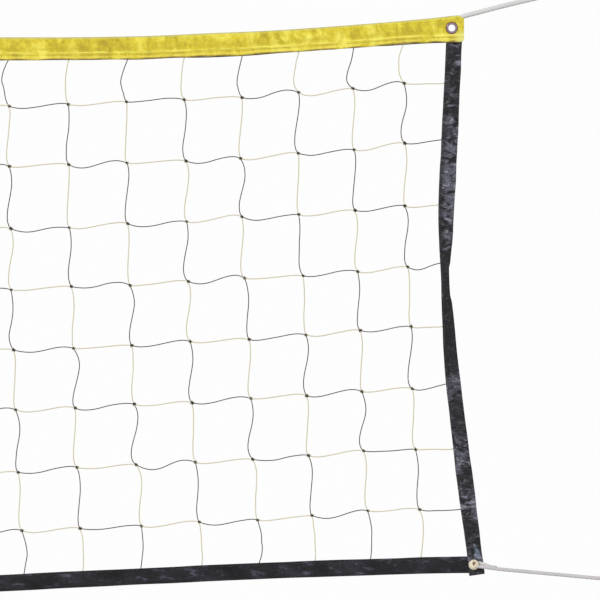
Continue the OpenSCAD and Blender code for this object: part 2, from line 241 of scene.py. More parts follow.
def mirrored(points):
    """The same points at the net's other end."""
    return np.asarray(points) * [-1, 1, 1] + [2 * MIDDLE_X, 0, 0]


def lattice(i, j, seed):
    """A steady value from 0 to 1 for each pair of whole numbers. The large odd numbers only scatter bits."""
    h = (i.astype(np.int64) * 374761393 + j.astype(np.int64) * 668265263 + seed * 974634777) & 0xFFFFFFFF
    h = ((h ^ (h >> 13)) * 1274126177) & 0xFFFFFFFF
    h = ((h ^ (h >> 16)) * 1103515245) & 0xFFFFFFFF
    return ((h ^ (h >> 15)) & 0xFFFFFF) / float(0xFFFFFF)


def noise(x, y, seed):
    """Smooth noise from -1 to 1, one cell to a unit."""
    x, y = np.broadcast_arrays(np.asarray(x, float), np.asarray(y, float))
    i, j = np.floor(x), np.floor(y)
    u, v = ease(x - i), ease(y - j)
    low = lerp(lattice(i, j, seed), lattice(i + 1, j, seed), u)
    high = lerp(lattice(i, j + 1, seed), lattice(i + 1, j + 1, seed), u)
    return 2 * lerp(low, high, v) - 1


def ridges(x, y, seed):
    """Sharp-crested noise from 0 to 1."""
    return 1 - np.abs(noise(x, y, seed))


# ---------------------------------------------------------------- nodes


class Wire:
    """One output of a node. Arithmetic on it adds Math nodes."""

    def __init__(self, nodes, socket):
        self.nodes = nodes
        self.socket = socket

    def maths(self, operation, *others):
        return self.nodes.maths(operation, self, *others)

    def __add__(self, other):
        return self.maths("ADD", other)

    def __sub__(self, other):
        return self.maths("SUBTRACT", other)

    def __rsub__(self, other):
        return self.nodes.maths("SUBTRACT", other, self)

    def __mul__(self, other):
        return self.maths("MULTIPLY", other)

    def __truediv__(self, other):
        return self.maths("DIVIDE", other)

    def __pow__(self, other):
        return self.maths("POWER", other)

    __radd__ = __add__
    __rmul__ = __mul__

    def sine(self):
        return self.maths("SINE")

    def size(self):
        return self.maths("ABSOLUTE")

    def clamped(self):
        return self.nodes.node("ShaderNodeClamp", {}, [self])

    def smoothed(self, low, high):
        """0 below low, 1 above high."""
        values = {"Value": self, "From Min": low, "From Max": high}
        return self.nodes.node("ShaderNodeMapRange", {"interpolation_type": "SMOOTHSTEP"}, values)

    def near(self, at, width):
        """1 at the given value, falling to 0 at width from it."""
        return 1 - (self - at).size().smoothed(0.0, width)


class Nodes:
    """A node tree whose nodes all come from one method."""

    def __init__(self, tree):
        self.tree = tree

    def join(self, socket, value):
        if isinstance(value, Wire):
            self.tree.links.new(value.socket, socket)
        else:
            socket.default_value = (*value, 1) if socket.type == "RGBA" else value

    def node(self, kind, settings=None, values=(), output=0):
        """A node with its settings, then the values and links of its sockets, by name or by number."""
        node = self.tree.nodes.new(kind)
        for key, value in (settings or {}).items():
            if key == "stops":
                ramp = node.color_ramp.elements
                while len(ramp) < len(value):
                    ramp.new(0.5)
                for element, (at, colour) in zip(ramp, value):
                    element.position = at
                    element.color = (*colour, 1)
            elif key == "captured":
                node.capture_items.new(*value)
            else:
                setattr(node, key, value)
        for key, value in values.items() if isinstance(values, dict) else enumerate(values):
            self.join(node.inputs[key], value)
        return Wire(self, node.outputs[output]) if node.outputs else None

    def maths(self, operation, *values):
        return self.node("ShaderNodeMath", {"operation": operation}, values)

    def outputs(self, wire):
        """Every output of the node that a wire comes from."""
        return [Wire(self, socket) for socket in wire.socket.node.outputs]


class Shader(Nodes):
    """A material with a Principled surface."""

    def __init__(self, name):
        self.material = bpy.data.materials.new(name)
        self.material.use_nodes = True
        super().__init__(self.material.node_tree)
        self.surface = self.tree.nodes["Principled BSDF"].inputs
        self.place = self.node("ShaderNodeTexCoord", output="Object")
        self.xyz = self.parts(self.place)

    def parts(self, vector):
        """A vector's three numbers."""
        return self.outputs(self.node("ShaderNodeSeparateXYZ", {}, [vector]))

    def attribute(self, name, output="Fac"):
        return self.node("ShaderNodeAttribute", {"attribute_name": name}, output=output)

    def on_tape(self):
        """How far along a folded tape a place lies, and how far across it from the open edge."""
        return self.parts(self.node("ShaderNodeUVMap", {"uv_map": "UVMap"}))[:2]

    def on_cord(self):
        """The angle of a place round its cord, and how far along the cord it lies."""
        x, y, _ = self.parts(self.attribute("ring", "Vector"))
        return y.maths("ARCTAN2", x), self.attribute("run")

    def grain(self, place, scale, detail=2.0, rough=0.5, warp=0.0):
        """Noise at a place, which may be a tuple of three numbers."""
        if isinstance(place, tuple):
            place = self.node("ShaderNodeCombineXYZ", {}, place)
        values = {"Vector": place, "Scale": scale, "Detail": detail, "Roughness": rough, "Distortion": warp}
        return self.node("ShaderNodeTexNoise", {}, values)

    def ramp(self, value, *stops):
        return self.node("ShaderNodeValToRGB", {"stops": stops}, [value])

    def mix(self, share, low, high):
        """A colour from low to high."""
        return self.node("ShaderNodeMix", {"data_type": "RGBA"}, {0: share, 6: low, 7: high}, 2)

    def tinted(self, colour, *layers):
        """A colour with tints laid over it in turn, each by its own share."""
        for share, tint in layers:
            colour = self.mix(share, colour, tint)
        return colour

    def finish(self, colour, rough, height=None, depth=0.0, constants=None):
        """Joins a look to the surface. A height in units of depth makes the bump."""
        values = {"Base Color": colour, "Roughness": rough, **(constants or {})}
        if height is not None:
            bumps = {"Height": height, "Distance": depth, "Strength": 1.0}
            values["Normal"] = self.node("ShaderNodeBump", {}, bumps)
        for key, value in values.items():
            self.join(self.surface[key], value)
        return self.material


# ---------------------------------------------------------------- materials

PLAITS = 5
BRAID_PITCH = 8.5 * MM
TWINE_STRANDS = 3
SLEEVE_THREAD_PITCH = 1.1 * MM
TAPE_THREAD_PITCH = 1.3 * MM


def threads(along, across, pitch):
    """The ups and downs of a weave's two sets of threads."""
    return [(way * (TURN / pitch)).sine() for way in (along, across)]


def sleeve_material():
    """Coated fabric: painted highlights and painted shade along the seams and over its folds, a brown lower
    edge, worn ends, painted shade along the top fold, and a stain with a painted shadow round each eyelet.
    """
    s = Shader("coated yellow fabric")
    x, y, z = s.xyz
    along, across = s.on_tape()
    broad = s.grain(s.place, 22.0, 3.0, 0.55)
    fine = s.grain((x * 0.8, y, z), 170.0, 3.0, 0.65)
    folds = s.grain((x + z * 0.2, y, z * 0.45), 50.0, 3.0, 0.62, 0.5)
    golden = s.grain(s.place, 6.0).smoothed(0.45, 0.62)
    on_and_off = s.grain((x, y, z * 2), 30.0, 2.0, 0.6).smoothed(0.34, 0.56)
    # darker brown along the cloth's lower edge, in patches
    brown_lower_edge = (1 - across.smoothed(1.0 * MM, 3.4 * MM)) * (0.3 + 0.7 * on_and_off)
    end = HALF_L - (x - MIDDLE_X).size()
    wear_and_sheen = (1 - end.smoothed(6 * MM, 20 * MM)) * (1 - across.smoothed(10 * MM, 22 * MM))
    rim = s.attribute("rim")
    # a darker red-brown ring just outside each top eyelet's flange: a stain with the flange's painted shadow
    away = ((end - (RIGHT_X - TOP_EYELET[0])) ** 2 + (z - TOP_EYELET[2]) ** 2) ** 0.5
    stain_and_shadow = away.near(9.2 * MM, 2.1 * MM) * (0.7 + 0.6 * fine)
    level = across + (broad - 0.5) * (3 * MM)
    # painted highlights on the swells beside the seams, painted shade in the furrow at the upper seam, and a
    # darker band higher up
    streaks = [
        (level.near(height * MM, width * MM) * on_and_off * amount, tint)
        for height, width, amount, tint in (
            (4.0, 2.2, 0.55, (0.92, 0.80, 0.14)),
            (11.8, 2.4, 0.85, (1.0, 0.93, 0.14)),
            (8.4, 1.8, 0.60, (0.42, 0.27, 0.01)),
            (18.0, 5.0, 0.35, (0.50, 0.38, 0.005)),
        )
    ]
    deep, plain, bright = (0.40, 0.30, 0.001), (0.69, 0.57, 0.016), (0.96, 0.88, 0.13)
    # the ramp follows the noise that also raises the fold relief: painted highlights on the crests and
    # painted shade in the hollows, over random tone
    shade = folds * 0.5 + broad * 0.25 + fine * 0.25
    colour = s.tinted(
        s.ramp(shade, (0.38, deep), (0.5, plain), (0.62, bright)),
        (golden * 0.2, (0.86, 0.63, 0.03)),
        *streaks,
        (brown_lower_edge * 0.9, (0.17, 0.08, 0.02)),
        (wear_and_sheen * (0.3 + 0.6 * fine), (0.82, 0.82, 0.26)),
        # painted shade along the top fold, where the cloth turns away from the light
        (rim.smoothed(0.0, 0.5) * 0.35, (0.60, 0.59, 0.18)),
        (rim.smoothed(0.62, 0.85) * 0.65, (0.33, 0.33, 0.19)),
        (stain_and_shadow.clamped(), (0.17, 0.045, 0.05)),
    )
    warp, weft = threads(along, across, SLEEVE_THREAD_PITCH)
    weave = (warp + weft) * 0.14 * (1 - rim.smoothed(0.3, 0.8))
    height = weave + s.grain(s.place, 420.0) * 0.4 + fine * 0.8 + folds * 4.0
    coat = {"Coat Weight": 0.06, "Coat Roughness": 0.25, "Specular IOR Level": 0.4}
    return s.finish(colour, 0.34 + 0.22 * broad, height, 0.6 * MM, coat)


def vinyl_material():
    """Crumpled glossy vinyl, with a painted lilac sheen and painted highlights where it lies open, painted
    shade in its creases, and dark where it rolls up.
    """
    s = Shader("crinkled black vinyl")
    x, y, z = s.xyz
    _, across = s.on_tape()
    down = side_share(z)
    fine = s.grain(s.place, 260.0, 4.0, 0.6)
    broad = s.grain(s.place, 30.0, 3.0)
    folds = s.grain((x, y, z * 1.7), 44.0, 3.0, 0.55, 1.3)
    streaks = s.grain((x + z * 0.6, y, z * 2.2), 85.0, 3.0, 0.6, 0.8)
    patchy = s.grain(s.place, 13.0).smoothed(0.36, 0.58)
    middle = down.near(0.25, 0.15)
    above_roll = (1 - down.smoothed(0.36, 0.44)) * (0.3 + 0.7 * across.smoothed(4 * MM, 13 * MM))
    below_roll = down.smoothed(0.59, 0.66) * (0.2 + 0.6 * patchy)
    lying_flat = (1 - 0.8 * down.smoothed(0.972, 0.985)) * (1 - 0.8 * down.near(0.910, 0.036))
    open_part = above_roll * (0.6 + middle * 0.9) + below_roll * lying_flat
    # the sheen, the crest highlights, the pale line along the bent ridge and the glint near the foot are
    # painted highlights; the dark crease lines are painted shade
    sheen = (folds + middle * 0.06).smoothed(0.44, 0.58) * open_part * (0.45 + 0.55 * patchy)
    crest_highlight = streaks.smoothed(0.54, 0.66) * (0.25 + 0.75 * folds.smoothed(0.42, 0.55))
    crease = streaks.near(0.46, 0.035)
    bent = (down + (folds - 0.5) * 0.03).near(0.868, 0.0045) * (0.2 + 0.6 * patchy)
    glint = down.near(0.957, 0.020) * across.near(17.5 * MM, 7 * MM) * folds.smoothed(0.38, 0.52)
    black, dark, grey = (0.003, 0.0025, 0.004), (0.009, 0.008, 0.011), (0.019, 0.017, 0.023)
    colour = s.tinted(
        s.ramp(broad * 0.5 + fine * 0.5, (0.35, black), (0.6, dark), (0.75, grey)),
        (sheen.clamped() * 0.95, s.mix(broad, (0.075, 0.09, 0.105), (0.165, 0.15, 0.205))),
        ((crest_highlight * open_part).clamped() * 0.9, (0.31, 0.30, 0.38)),
        (crease * 0.75, (0.004, 0.0035, 0.006)),
        (bent, (0.27, 0.26, 0.32)),
        (glint * 0.8, (0.15, 0.20, 0.26)),
    )
    height = folds * 4.0 + streaks * 2.0 + fine * 0.25
    coat = {"Coat Weight": 0.15, "Coat Roughness": 0.2, "Specular IOR Level": 0.3}
    return s.finish(colour, 0.32 + 0.2 * fine, height, 1.3 * MM, coat)


def tape_material():
    s = Shader("black bottom tape")
    x, y, z = s.xyz
    along, across = s.on_tape()
    broad = s.grain((x * 0.5, y, z), 40.0, 3.0)
    fine = s.grain(s.place, 300.0, 3.0, 0.6)
    streaks = s.grain((x * 0.35, y, z), 130.0, 3.0, 0.6, 0.5)
    warp, weft = threads(along, across, TAPE_THREAD_PITCH)
    weave = warp * weft
    # bluish grey patches over the tape: painted highlights of its crumples
    wear_and_sheen = streaks.smoothed(0.54, 0.68) * broad.smoothed(0.40, 0.56)
    black, dark, grey = (0.003, 0.003, 0.004), (0.0145, 0.0135, 0.0175), (0.036, 0.034, 0.046)
    shade = broad * 0.5 + fine * 0.3 + weave * 0.04
    colour = s.ramp(shade, (0.28, black), (0.42, dark), (0.55, grey))
    colour = s.mix(wear_and_sheen * 0.7, colour, (0.10, 0.10, 0.145))
    height = weave * 0.4 + fine * 0.7
    return s.finish(colour, 0.46 + 0.2 * fine, height, 0.5 * MM, {"Specular IOR Level": 0.25})


def strand_material(name, dark, pale, pitch=6 * MM):
    """Twisted cord: its strands run round it as they run along it."""
    s = Shader(name)
    angle, run = s.on_cord()
    twist = (run * (TURN / pitch) + angle * TWINE_STRANDS).sine() * 0.5 + 0.5
    fibres = s.grain(s.place, 900.0, 3.0, 0.65)
    broad = s.grain(s.place, 35.0)
    share = twist * 0.45 + fibres * 0.3 + (broad - 0.5) * 0.5
    colour = s.mix(share.clamped(), dark, pale)
    return s.finish(colour, 0.75, twist**0.5 + fibres * 0.35, 0.3 * MM)


def braid_material(name, dark, pale, shaded_dents=()):
    """Braided cord: two families of strands cross over and under each other. Dents get painted shade, dark
    brown. Dents are dark.
    """
    s = Shader(name)
    x, _, z = s.xyz
    angle, run = s.on_cord()
    one, other = [(angle * PLAITS + run * (way * TURN / BRAID_PITCH)).sine() for way in (1, -1)]
    over = one.maths("MAXIMUM", other) * 0.5 + 0.5
    fibres = s.grain(s.place, 1100.0, 3.0, 0.6)
    broad = s.grain(s.place, 40.0)
    share = over * 0.4 + fibres * 0.45 + (broad - 0.5) * 0.5
    colour = s.mix(share.clamped(), dark, pale)
    # painted shade in the hollow at the top of each tie knot
    for dent_x, _, dent_z in shaded_dents:
        away = ((x - dent_x) ** 2 + (z - dent_z) ** 2) ** 0.5
        colour = s.mix((1 - away.smoothed(1.2 * MM, 4.2 * MM)) * 0.85, colour, (0.20, 0.12, 0.045))
    return s.finish(colour, 0.6 + 0.2 * fibres, over + fibres * 0.3, 0.25 * MM)


def thread_material(name, dark, pale):
    s = Shader(name)
    fine = s.grain(s.place, 700.0)
    broad = s.grain(s.place, 14.0)
    return s.finish(s.mix(fine * 0.6 + broad * 0.4, dark, pale), 0.6, fine, 0.2 * MM)


def metal_material(name, colour, wear):
    s = Shader(name)
    x, y, z = s.xyz
    brushed = s.grain((x, y * 9, z), 700.0, 3.0, 0.6)
    tarnish = s.grain(s.place, 260.0, 3.0, 0.6).smoothed(0.52, 0.74)
    colour = s.mix(tarnish * wear, colour, (0.30, 0.21, 0.17))
    rough = 0.22 + 0.3 * tarnish + 0.12 * brushed
    return s.finish(colour, rough, brushed, 0.12 * MM, {"Metallic": 1.0})


SLEEVE = sleeve_material()
VINYL = vinyl_material()
TAPE = tape_material()
DARK_TWINE = strand_material("dark twine", (0.020, 0.017, 0.014), (0.125, 0.112, 0.095))
KNOTTED_TWINE = strand_material("knotted dark twine", (0.012, 0.008, 0.006), (0.075, 0.055, 0.04), 3 * MM)
PALE_TWINE = strand_material("yellow twine", (0.52, 0.47, 0.30), (0.84, 0.79, 0.58))
HEM_TWINE = strand_material("brown twine", (0.05, 0.033, 0.010), (0.17, 0.12, 0.045))
ROPE = braid_material("white braided rope", (0.50, 0.495, 0.49), (0.68, 0.675, 0.67))
# a darker copy of the white rope for the lower ropes: painted shade
LOW_ROPE = braid_material("greyed braided rope", (0.43, 0.41, 0.415), (0.60, 0.575, 0.585))
LOOP_ROPE = braid_material("loop of braided rope", (0.50, 0.50, 0.48), (0.72, 0.71, 0.68))
# the hollow at the top of each tie knot, where shade is painted
SHADED_DENT = TIE + np.array([0.3, 0, 3.4]) * MM
SHADED_DENTS = [SHADED_DENT, mirrored(SHADED_DENT)]
TIE_ROPE = braid_material("cream braided rope", (0.50, 0.42, 0.29), (0.90, 0.84, 0.68), SHADED_DENTS)
YELLOW_THREAD = thread_material("yellow thread", (0.76, 0.62, 0.03), (1.0, 0.93, 0.22))
ORANGE_THREAD = thread_material("orange thread", (0.42, 0.13, 0.01), (0.66, 0.30, 0.04))
BLACK_THREAD = thread_material("black thread", (0.012, 0.012, 0.014), (0.05, 0.05, 0.055))
# the top eyelets' purple-grey nickel with rust-red patches: stain and painted shade
METAL = metal_material("stained nickel", (0.46, 0.37, 0.45), 0.5)
# a darker copy of the nickel for the bottom eyelets: tarnish and painted shade round the tie knot
DULL_METAL = metal_material("tarnished nickel", (0.16, 0.13, 0.11), 0.8)

# ---------------------------------------------------------------- meshes


def add_object(name, data):
    made = bpy.data.objects.new(name, data)
    bpy.context.scene.collection.objects.link(made)
    return made


def give_points(mesh, name, values):
    """Stores a number or a vector at each of a mesh's points."""
    values = np.asarray(values, np.float32)
    kind, field = ("FLOAT", "value") if values.ndim == 1 else ("FLOAT_VECTOR", "vector")
    mesh.attributes.new(name, kind, "POINT").data.foreach_set(field, values.ravel())


def evaluated(piece):
    """A plain mesh of a piece as its modifiers make it."""
    bpy.context.view_layer.update()
    graph = bpy.context.evaluated_depsgraph_get()
    made = piece.evaluated_get(graph)
    return bpy.data.meshes.new_from_object(made, preserve_all_data_layers=True, depsgraph=graph)


def face_inwards(points, quads):
    """Whether the quads of a skin show their backs, from the volume that they close in."""
    a, b, c, d = (points[quads[:, k]] for k in range(4))
    return np.sum(a * (np.cross(b, c) + np.cross(c, d))) < 0


def loft(name, rings, material, uv=None, closed=False, **point_values):
    """A skin over rings of points. It has flat ends, or joins up where it is closed."""
    m, n = rings.shape[:2]
    points = rings.reshape(-1, 3)
    i, k = np.meshgrid(np.arange(m if closed else m - 1), np.arange(n), indexing="ij")
    next_i, next_k = (i + 1) % m, (k + 1) % n
    quads = [i * n + k, i * n + next_k, next_i * n + next_k, next_i * n + k]
    quads = np.stack(quads, -1).reshape(-1, 4)
    ring = np.arange(n)
    caps = [] if closed else [ring[::-1], ring + (m - 1) * n]
    if face_inwards(points, quads):
        quads = quads[:, ::-1]
        caps = [cap[::-1] for cap in caps]
    mesh = bpy.data.meshes.new(name)
    mesh.from_pydata(points.tolist(), [], quads.tolist() + [cap.tolist() for cap in caps])
    mesh.polygons.foreach_set("use_smooth", [True] * len(quads) + [False] * len(caps))
    if uv is not None:
        corners = np.zeros(len(mesh.loops), int)
        mesh.loops.foreach_get("vertex_index", corners)
        at_corners = np.asarray(uv, np.float32).reshape(-1, 2)[corners]
        mesh.uv_layers.new(name="UVMap").data.foreach_set("uv", at_corners.ravel())
    for key, values in point_values.items():
        give_points(mesh, key, values)
    mesh.materials.append(material)
    return add_object(name, mesh)


def unit(v):
    return v / np.linalg.norm(v, axis=-1, keepdims=True)


def steps_of(points):
    """Distances from each point to the next."""
    return np.linalg.norm(np.diff(points, axis=0), axis=1)


def round_angles(count):
    """Angles at even steps round a full turn."""
    return np.arange(count) * TURN / count


def resample(points, step):
    """Points at an even step along a smooth curve through the given ones."""
    points = np.asarray(points, float)
    ext = np.vstack([2 * points[0] - points[1], points, 2 * points[-1] - points[-2]])
    t = np.linspace(0, 1, 17)[:-1, None]
    fine = [
        0.5 * (2 * b + (c - a) * t + (2 * a - 5 * b + 4 * c - d) * t**2 + (3 * b - a - 3 * c + d) * t**3)
        for a, b, c, d in zip(ext[:-3], ext[1:-2], ext[2:-1], ext[3:])
    ]
    fine = np.vstack([*fine, points[-1:]])
    run = np.concatenate([[0], np.cumsum(steps_of(fine))])
    at = np.linspace(0, run[-1], max(2, int(round(run[-1] / step)) + 1))
    return np.stack([np.interp(at, run, fine[:, k]) for k in range(3)], 1)


def cross_directions(points):
    """Two directions square to a curve at each point, that turn as little as possible along it."""
    tangents = unit(np.gradient(points, axis=0))
    start = np.array([0.0, 1.0, 0.0]) if abs(tangents[0][1]) < 0.9 else np.array([0.0, 0.0, 1.0])
    normal = unit(start - tangents[0] * np.dot(start, tangents[0]))
    normals = [normal]
    for a, b in zip(tangents[:-1], tangents[1:]):
        axis = np.cross(a, b)
        size = np.linalg.norm(axis)
        if size > 1e-9:
            axis /= size
            angle = math.atan2(size, np.dot(a, b))
            about = axis * np.dot(axis, normal) * (1 - math.cos(angle))
            normal = normal * math.cos(angle) + np.cross(axis, normal) * math.sin(angle) + about
        normals.append(unit(normal - b * np.dot(b, normal)))
    return np.array(normals), np.cross(tangents, normals)


def tube(name, points, directions, radii, run, material, closed=False):
    """A tube round a line of points, that stores how far along it and where round it each place lies."""
    sides = radii.shape[1]
    angle = round_angles(sides)
    circle = np.stack([np.cos(angle), np.sin(angle), 0 * angle], 1)
    across, other = directions
    out = circle[None, :, :1] * across[:, None] + circle[None, :, 1:2] * other[:, None]
    rings = points[:, None] + out * radii[..., None]
    known = {"run": np.repeat(run, sides), "ring": np.tile(circle, (len(points), 1))}
    return loft(name, rings, material, closed=closed, **known)


def rope_piece(name, route, radius, material, sides=30, step=0.9 * MM, relief=0.03, seed=0):
    """A braided rope along a route, with its strands raised a little."""
    points = resample(route, step)
    run = np.arange(len(points)) * step
    round_it = PLAITS * round_angles(sides)
    along_it = TURN * run[:, None] / BRAID_PITCH
    raised = np.maximum(np.sin(round_it + along_it), np.sin(round_it - along_it))
    radii = radius * (0.98 + relief * raised + 0.02 * noise(run[:, None] / 0.02, 0, seed))
    return tube(name, points, cross_directions(points), radii, run, material)


# ---------------------------------------------------------------- Geometry Nodes trees


class Tree(Nodes):
    """A Geometry Nodes tree with a mesh and named sizes as its inputs."""

    def __init__(self, name, **inputs):
        super().__init__(bpy.data.node_groups.new(name, "GeometryNodeTree"))
        face = self.tree.interface
        face.new_socket("Geometry", in_out="OUTPUT", socket_type="NodeSocketGeometry")
        self.names = {}
        for label, kind in {"Geometry": "Geometry", **inputs, "Material": "Material"}.items():
            made = face.new_socket(label, in_out="INPUT", socket_type="NodeSocket" + kind)
            self.names[label] = made.identifier

    def given(self, label):
        return self.node("NodeGroupInput", output=label)

    def captured(self, geometry, value, kind, name):
        """Geometry that carries a value with it, and the value as it comes out again."""
        settings = {"captured": (kind, name)}
        return self.outputs(self.node("GeometryNodeCaptureAttribute", settings, [geometry, value]))[:2]

    def finish(self, geometry):
        real = self.node("GeometryNodeRealizeInstances", {}, [geometry])
        values = {"Geometry": real, "Material": self.given("Material")}
        done = self.node("GeometryNodeSetMaterial", {}, values)
        self.node("NodeGroupOutput", {}, [self.node("GeometryNodeSetShadeSmooth", {}, [done])])
        return self

    def grow(self, name, mesh, **inputs):
        """Runs the tree on a mesh and keeps the result as a plain mesh piece."""
        carrier = add_object(name, mesh)
        modifier = carrier.modifiers.new("tree", "NODES")
        modifier.node_group = self.tree
        for label, value in inputs.items():
            modifier[self.names[label]] = value
        made = evaluated(carrier)
        carrier.modifiers.remove(modifier)
        bpy.data.objects.remove(carrier)
        bpy.data.meshes.remove(mesh)
        made.name = name
        return add_object(name, made)


def twine_tree():
    """Twine of round section along every chain of edges."""
    tree = Tree("twine", Radius="Float", Sides="Int")
    path = tree.node("GeometryNodeMeshToCurve", {}, [tree.given("Geometry")])
    length = tree.node("GeometryNodeSplineParameter", output="Length")
    path, run = tree.captured(path, length, "FLOAT", "run")
    sizes = {"Resolution": tree.given("Sides"), "Radius": tree.given("Radius")}
    circle = tree.node("GeometryNodeCurvePrimitiveCircle", {"mode": "RADIUS"}, sizes)
    circle, ring = tree.captured(circle, tree.node("GeometryNodeInputPosition"), "VECTOR", "ring")
    curves = {"Curve": path, "Profile Curve": circle, "Fill Caps": True}
    made = tree.node("GeometryNodeCurveToMesh", {}, curves)
    for name, kind, value in (("run", "FLOAT", run), ("ring", "FLOAT_VECTOR", ring)):
        settings = {"data_type": kind, "domain": "POINT"}
        values = {"Geometry": made, "Name": name, "Value": value}
        made = tree.node("GeometryNodeStoreNamedAttribute", settings, values)
    return tree.finish(made)


def knot_tree():
    """A knot at each point, turned and sized as the point's attributes say."""
    tree = Tree("knots", Shape="Object")
    shape = tree.node("GeometryNodeObjectInfo", {}, {"Object": tree.given("Shape")}, "Geometry")
    turn, size = [
        tree.node("GeometryNodeInputNamedAttribute", {"data_type": kind}, {"Name": name})
        for name, kind in (("turn", "FLOAT_VECTOR"), ("size", "FLOAT"))
    ]
    turned = tree.node("FunctionNodeEulerToRotation", {}, [turn])
    values = {"Points": tree.given("Geometry"), "Instance": shape, "Rotation": turned, "Scale": size}
    return tree.finish(tree.node("GeometryNodeInstanceOnPoints", {}, values))


def stitch_tree():
    """Stitches at an even pitch along every seam line."""
    tree = Tree("stitches", Pitch="Float", Length="Float", Radius="Float")
    path = tree.node("GeometryNodeMeshToCurve", {}, [tree.given("Geometry")])
    values = {"Curve": path, "Length": tree.given("Pitch")}
    path = tree.node("GeometryNodeResampleCurve", {"mode": "LENGTH"}, values)
    along = tree.node("GeometryNodeInputTangent")
    turned = tree.node("FunctionNodeAlignRotationToVector", {"axis": "Z"}, {"Vector": along})
    sizes = {"Vertices": 5, "Radius": tree.given("Radius"), "Depth": tree.given("Length")}
    stitch = tree.node("GeometryNodeMeshCylinder", {"fill_type": "TRIANGLE_FAN"}, sizes)
    from_to = {2: 0.85, 3: 1.15, "Seed": 7}
    spread = tree.node("FunctionNodeRandomValue", {"data_type": "FLOAT"}, from_to, 1)
    values = {"Points": path, "Instance": stitch, "Rotation": turned, "Scale": spread}
    return tree.finish(tree.node("GeometryNodeInstanceOnPoints", {}, values))


TWINE_TREE = twine_tree()
KNOT_TREE = knot_tree()
STITCH_TREE = stitch_tree()

TWINE_SIDES = 6
STITCH_PITCH = 4.1 * MM
STITCH_L = 2.9 * MM
STITCH_R = 0.42 * MM


def chains(name, lines):
    """One mesh of points and edges, a chain for each line of points."""
    edges = []
    start = 0
    for line in lines:
        edges += [(start + k, start + k + 1) for k in range(len(line) - 1)]
        start += len(line)
    mesh = bpy.data.meshes.new(name)
    mesh.from_pydata(np.vstack(lines).tolist(), edges, [])
    return mesh


def twine(name, lines, radius, material):
    return TWINE_TREE.grow(name, chains(name, lines), Radius=radius, Sides=TWINE_SIDES, Material=material)


def seam(name, lines, material):
    sizes = {"Pitch": STITCH_PITCH, "Length": STITCH_L, "Radius": STITCH_R}
    return STITCH_TREE.grow(name, chains(name, lines), Material=material, **sizes)


# ---------------------------------------------------------------- netting

KNOT_ROWS = 8
KNOT_COLUMNS = 100
FIRST_COLUMN = 99.3 * MM
COLUMN_CLOSING = 13.5 * MM
COLUMN_LEAN = 33 * MM
INTO_BAND = 8 * MM
BAND_SHIFT = 4 * MM
EVEN_ROW_LIFT = 9.5 * MM
ODD_ROW_LIFT = 2 * MM
DARK_R = 0.9 * MM
PALE_R = 1.0 * MM
DARK_KNOT_R = 1.25 * MM
PALE_KNOT_R = 0.9 * MM
KNOT_TWINE_SIDES = 4
HEM_TWINE_R = 0.8 * MM
HEM_TWINE_IN = 30 * MM
ROW_RISE_L = 400 * MM

# shares of the way from the sleeve's hem to the bottom tape
FIRST_ROW = 0.0905
ROW_STEP = 0.1187
ROW_RISE = 0.018

# the ways in which a twine leaves a knot and enters the next one, in degrees from the net's length
LEAVING = {"down": -69, "right": -19}
ARRIVING = {"down": -46, "right": -23}
AT_BAND = {"down": -112, "right": 18}
SPREAD = 16
BAND_SLACK = 2.1


def column_places():
    """Columns of knots, a little closer together towards the net's ends."""
    k = np.arange(KNOT_COLUMNS - 1)
    shape = np.exp(-np.minimum(k, KNOT_COLUMNS - 2 - k) / 2)
    pitch = (2 * (HALF_L - FIRST_COLUMN) + COLUMN_CLOSING * shape.sum()) / (KNOT_COLUMNS - 1)
    gaps = pitch - COLUMN_CLOSING * shape
    return RIGHT_X - FIRST_COLUMN - np.concatenate([[0], np.cumsum(gaps)])


COLUMN_X = column_places()


def from_column(x):
    """How far each place lies from the nearest column of knots."""
    column = np.interp(x, COLUMN_X[::-1], np.arange(KNOT_COLUMNS)[::-1])
    return x - COLUMN_X[np.clip(np.round(column).astype(int), 0, KNOT_COLUMNS - 1)]


def net_point(k, j):
    """Where column k from the right crosses row j from the top; 0 and one past the last are in the bands."""
    in_row = 1 <= j <= KNOT_ROWS
    column = min(max(k, 1), KNOT_COLUMNS)
    x = COLUMN_X[column - 1]
    rise = ROW_RISE * math.exp(-from_end(x) / ROW_RISE_L)
    share = FIRST_ROW + ROW_STEP * (j - 1) - rise if in_row else float(j > 0)
    towards_right = 1 - 2 * (column - 1) / (KNOT_COLUMNS - 1)
    x = x + COLUMN_LEAN * towards_right * share**2
    x = x + (2.0 * noise(k * 0.55, j * 0.4, 11) + 2.4 * noise(k * 7.3, j * 5.1, 13)) * MM
    y = 1.6 * MM * noise(k * 0.7, j * 0.7, 15)
    z = lerp(hem_z_at(x), bottom_z(x) + BOTTOM_W, share)
    if in_row:
        z += (1.8 * noise(k * 0.5, j * 0.6, 12) + 2.6 * noise(k * 6.1, j * 8.3, 14)) * MM
    if column != k:
        edge = side_edges(z)[0] + INTO_BAND
        x, y = (edge if k < 1 else 2 * MIDDLE_X - edge), 0.0
        if in_row:
            z += EVEN_ROW_LIFT if j % 2 == 0 and j < KNOT_ROWS else ODD_ROW_LIFT
    if not in_row:
        way = 1 if j < 1 else -1
        x, y, z = x + way * BAND_SHIFT, 0.0, z + way * INTO_BAND
    return np.array([x, y, z])


POINTS = {(k, j): net_point(k, j) for k in range(KNOT_COLUMNS + 2) for j in range(KNOT_ROWS + 2)}


def heading(spot, angles, way, seed):
    angle = math.radians(angles[way] + SPREAD * noise(spot[0] * 3.7, spot[1] * 4.3, seed))
    return np.array([math.cos(angle), 0.0, math.sin(angle)])


def in_netting(spot):
    return 1 <= spot[0] <= KNOT_COLUMNS and 1 <= spot[1] <= KNOT_ROWS


